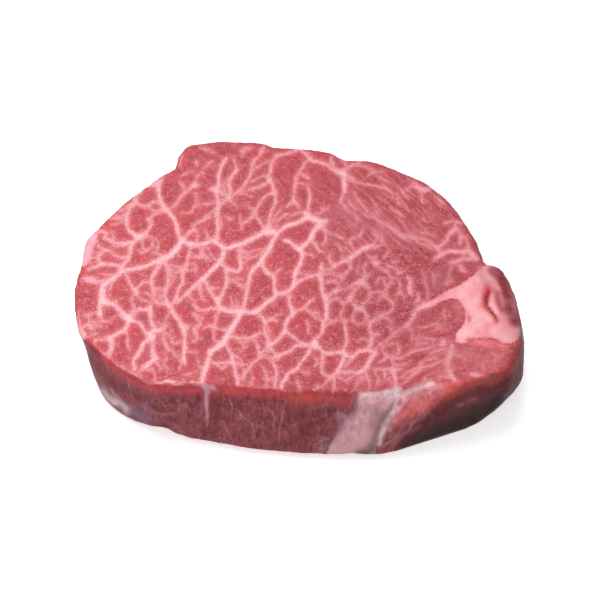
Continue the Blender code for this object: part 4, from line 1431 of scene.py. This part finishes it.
through = add("ShaderNodeMapRange", {0: shades, 1: 0.2, 2: 0.8, 3: 0.72, 4: 1.22})
marked = add("ShaderNodeVectorMath", {0: wash_colour, "Scale": through}, operation="SCALE")
blotched = add("ShaderNodeMapRange", {0: mottle, 3: 0.85, 4: 1.1})
laid_on = add("ShaderNodeMath", {0: wash_cover, 1: blotched}, operation="MULTIPLY", use_clamp=True)
facet_streaks = add("ShaderNodeMath", {0: streak_part, 1: on_the_wall}, operation="MULTIPLY")
facet_streaks = add("ShaderNodeMath", {0: facet_streaks, 1: 0.3}, operation="MULTIPLY")
at_foot = add("ShaderNodeMapRange", {0: height, 1: 1.6, 2: 0.2, 4: 0.85},
              interpolation_type="SMOOTHSTEP")
at_foot = add("ShaderNodeMath", {0: at_foot, 1: on_the_wall}, operation="MULTIPLY")
slit_shade = add("ShaderNodeMapRange", {0: slit_gap_mm, 1: 0.5, 2: 0.1},
                 interpolation_type="SMOOTHSTEP")
last_layers = ((laid_on, marked), (facet_streaks, STREAK_PALE), (at_foot, FOOT_SHADE),
               (slit_shade, SLIT_RED))
for part, layer in last_layers:
    body = add("ShaderNodeMix", {0: part, 6: body, 7: layer}, data_type="RGBA").outputs[2]
print("nodes so far:", len(nt.nodes))

# %% [markdown]
# ## Moisture
# The gloss isn't even: juice gathers in the grain, and fat is duller than lean. Grain and
# streaks also make the smallest relief, as bump, because they are finer than the skin's points.

# %% Gloss and fine bumps
JUICE_SIZE = 0.5

all_fat = add("ShaderNodeMath", {0: seam_part, 1: fat_mask}, operation="MAXIMUM")
wet = add("ShaderNodeMapRange", {0: grain, 1: 0.0, 2: 1.0, 3: 0.52, 4: 0.34})
wet = add("ShaderNodeMix", {0: all_fat, 2: wet, 3: 0.5})
wet = add("ShaderNodeMix", {0: on_the_wall, 2: wet, 3: 0.6})
fine = add("ShaderNodeTexNoise", {"Vector": place, "Scale": 1 / JUICE_SIZE, "Detail": 2.0})
surface = add("ShaderNodeMath", {0: grain, 1: 0.6, 2: fine}, operation="MULTIPLY_ADD")
string_part = add("ShaderNodeMath", {0: strings, 1: on_the_wall}, operation="MULTIPLY")
surface = add("ShaderNodeMath", {0: string_part, 1: 2.0, 2: surface}, operation="MULTIPLY_ADD")
bump = add("ShaderNodeBump", {"Strength": 0.6, "Distance": 0.15 * MM, "Height": surface})
shader = add("ShaderNodeBsdfPrincipled", {
    "Base Color": body, "Roughness": wet, "IOR": 1.38, "Specular IOR Level": 0.28, "Normal": bump,
    "Subsurface Weight": 0.35, "Subsurface Radius": (1.0, 0.35, 0.25),
    "Subsurface Scale": 1.5 * MM})
add("ShaderNodeOutputMaterial", {"Surface": shader})
mesh.materials.append(raw_beef)
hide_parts("steak")
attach(steak, "root")
print("raw beef has", len(nt.nodes), "nodes")

# %% [markdown]
# ## Floor and light
# The slice lies on a lit white table, and a pale floor that glows a little stands for it. Its light
# is kept off the meat, whose wall would look flat in it. One very large lamp above, a little
# behind and to the left, leaves the front wall in its own shade, as on the real slice, and gives
# the moist face a gentle sheen. A weaker lamp at the front left fills that shade.

# %% Floor, lamps and surroundings
# Lengths are in metres and powers in watts.
FLOOR_REACH = 3
FLOOR_LOOK = {"Base Color": colour("FAFAFA"), "Roughness": 0.9, "Emission Color": colour("FFFFFF"),
              "Emission Strength": 0.5}
LAMPS = [("softbox", "DISK", 0.9, 8.5, (-0.25, 0.35, 0.9)),
         ("fill", "SQUARE", 0.7, 5.3, (-0.45, -0.9, 0.3))]
SURROUNDINGS = {"Color": colour("FFFFFF"), "Strength": 0.34}

floor_mesh = bpy.data.meshes.new("floor")
corners = [(x * FLOOR_REACH, y * FLOOR_REACH, 0) for x, y in ((-1, -1), (1, -1), (1, 1), (-1, 1))]
floor_mesh.from_pydata(corners, [], [(0, 1, 2, 3)])
floor = bpy.data.objects.new("floor", floor_mesh)
bpy.context.scene.collection.objects.link(floor)
pale_floor = bpy.data.materials.new("pale_floor")
pale_floor.use_nodes = True
for name, value in FLOOR_LOOK.items():
    pale_floor.node_tree.nodes["Principled BSDF"].inputs[name].default_value = value
floor_mesh.materials.append(pale_floor)
floor.visible_diffuse = False

for name, shape, size, power, spot in LAMPS:
    lamp = bpy.data.objects.new(name, bpy.data.lights.new(name, "AREA"))
    lamp.data.shape = shape
    lamp.data.size = size
    lamp.data.energy = power
    lamp.location = spot
    lamp.rotation_euler = (Vector((0, 0, 0)) - lamp.location).to_track_quat("-Z", "Y").to_euler()
    bpy.context.scene.collection.objects.link(lamp)
    print(name, "gives", power, "W from", spot)

world = bpy.data.worlds.new("studio")
bpy.context.scene.world = world
world.use_nodes = True
for name, value in SURROUNDINGS.items():
    world.node_tree.nodes["Background"].inputs[name].default_value = value
bpy.context.scene.view_settings.view_transform = "Standard"
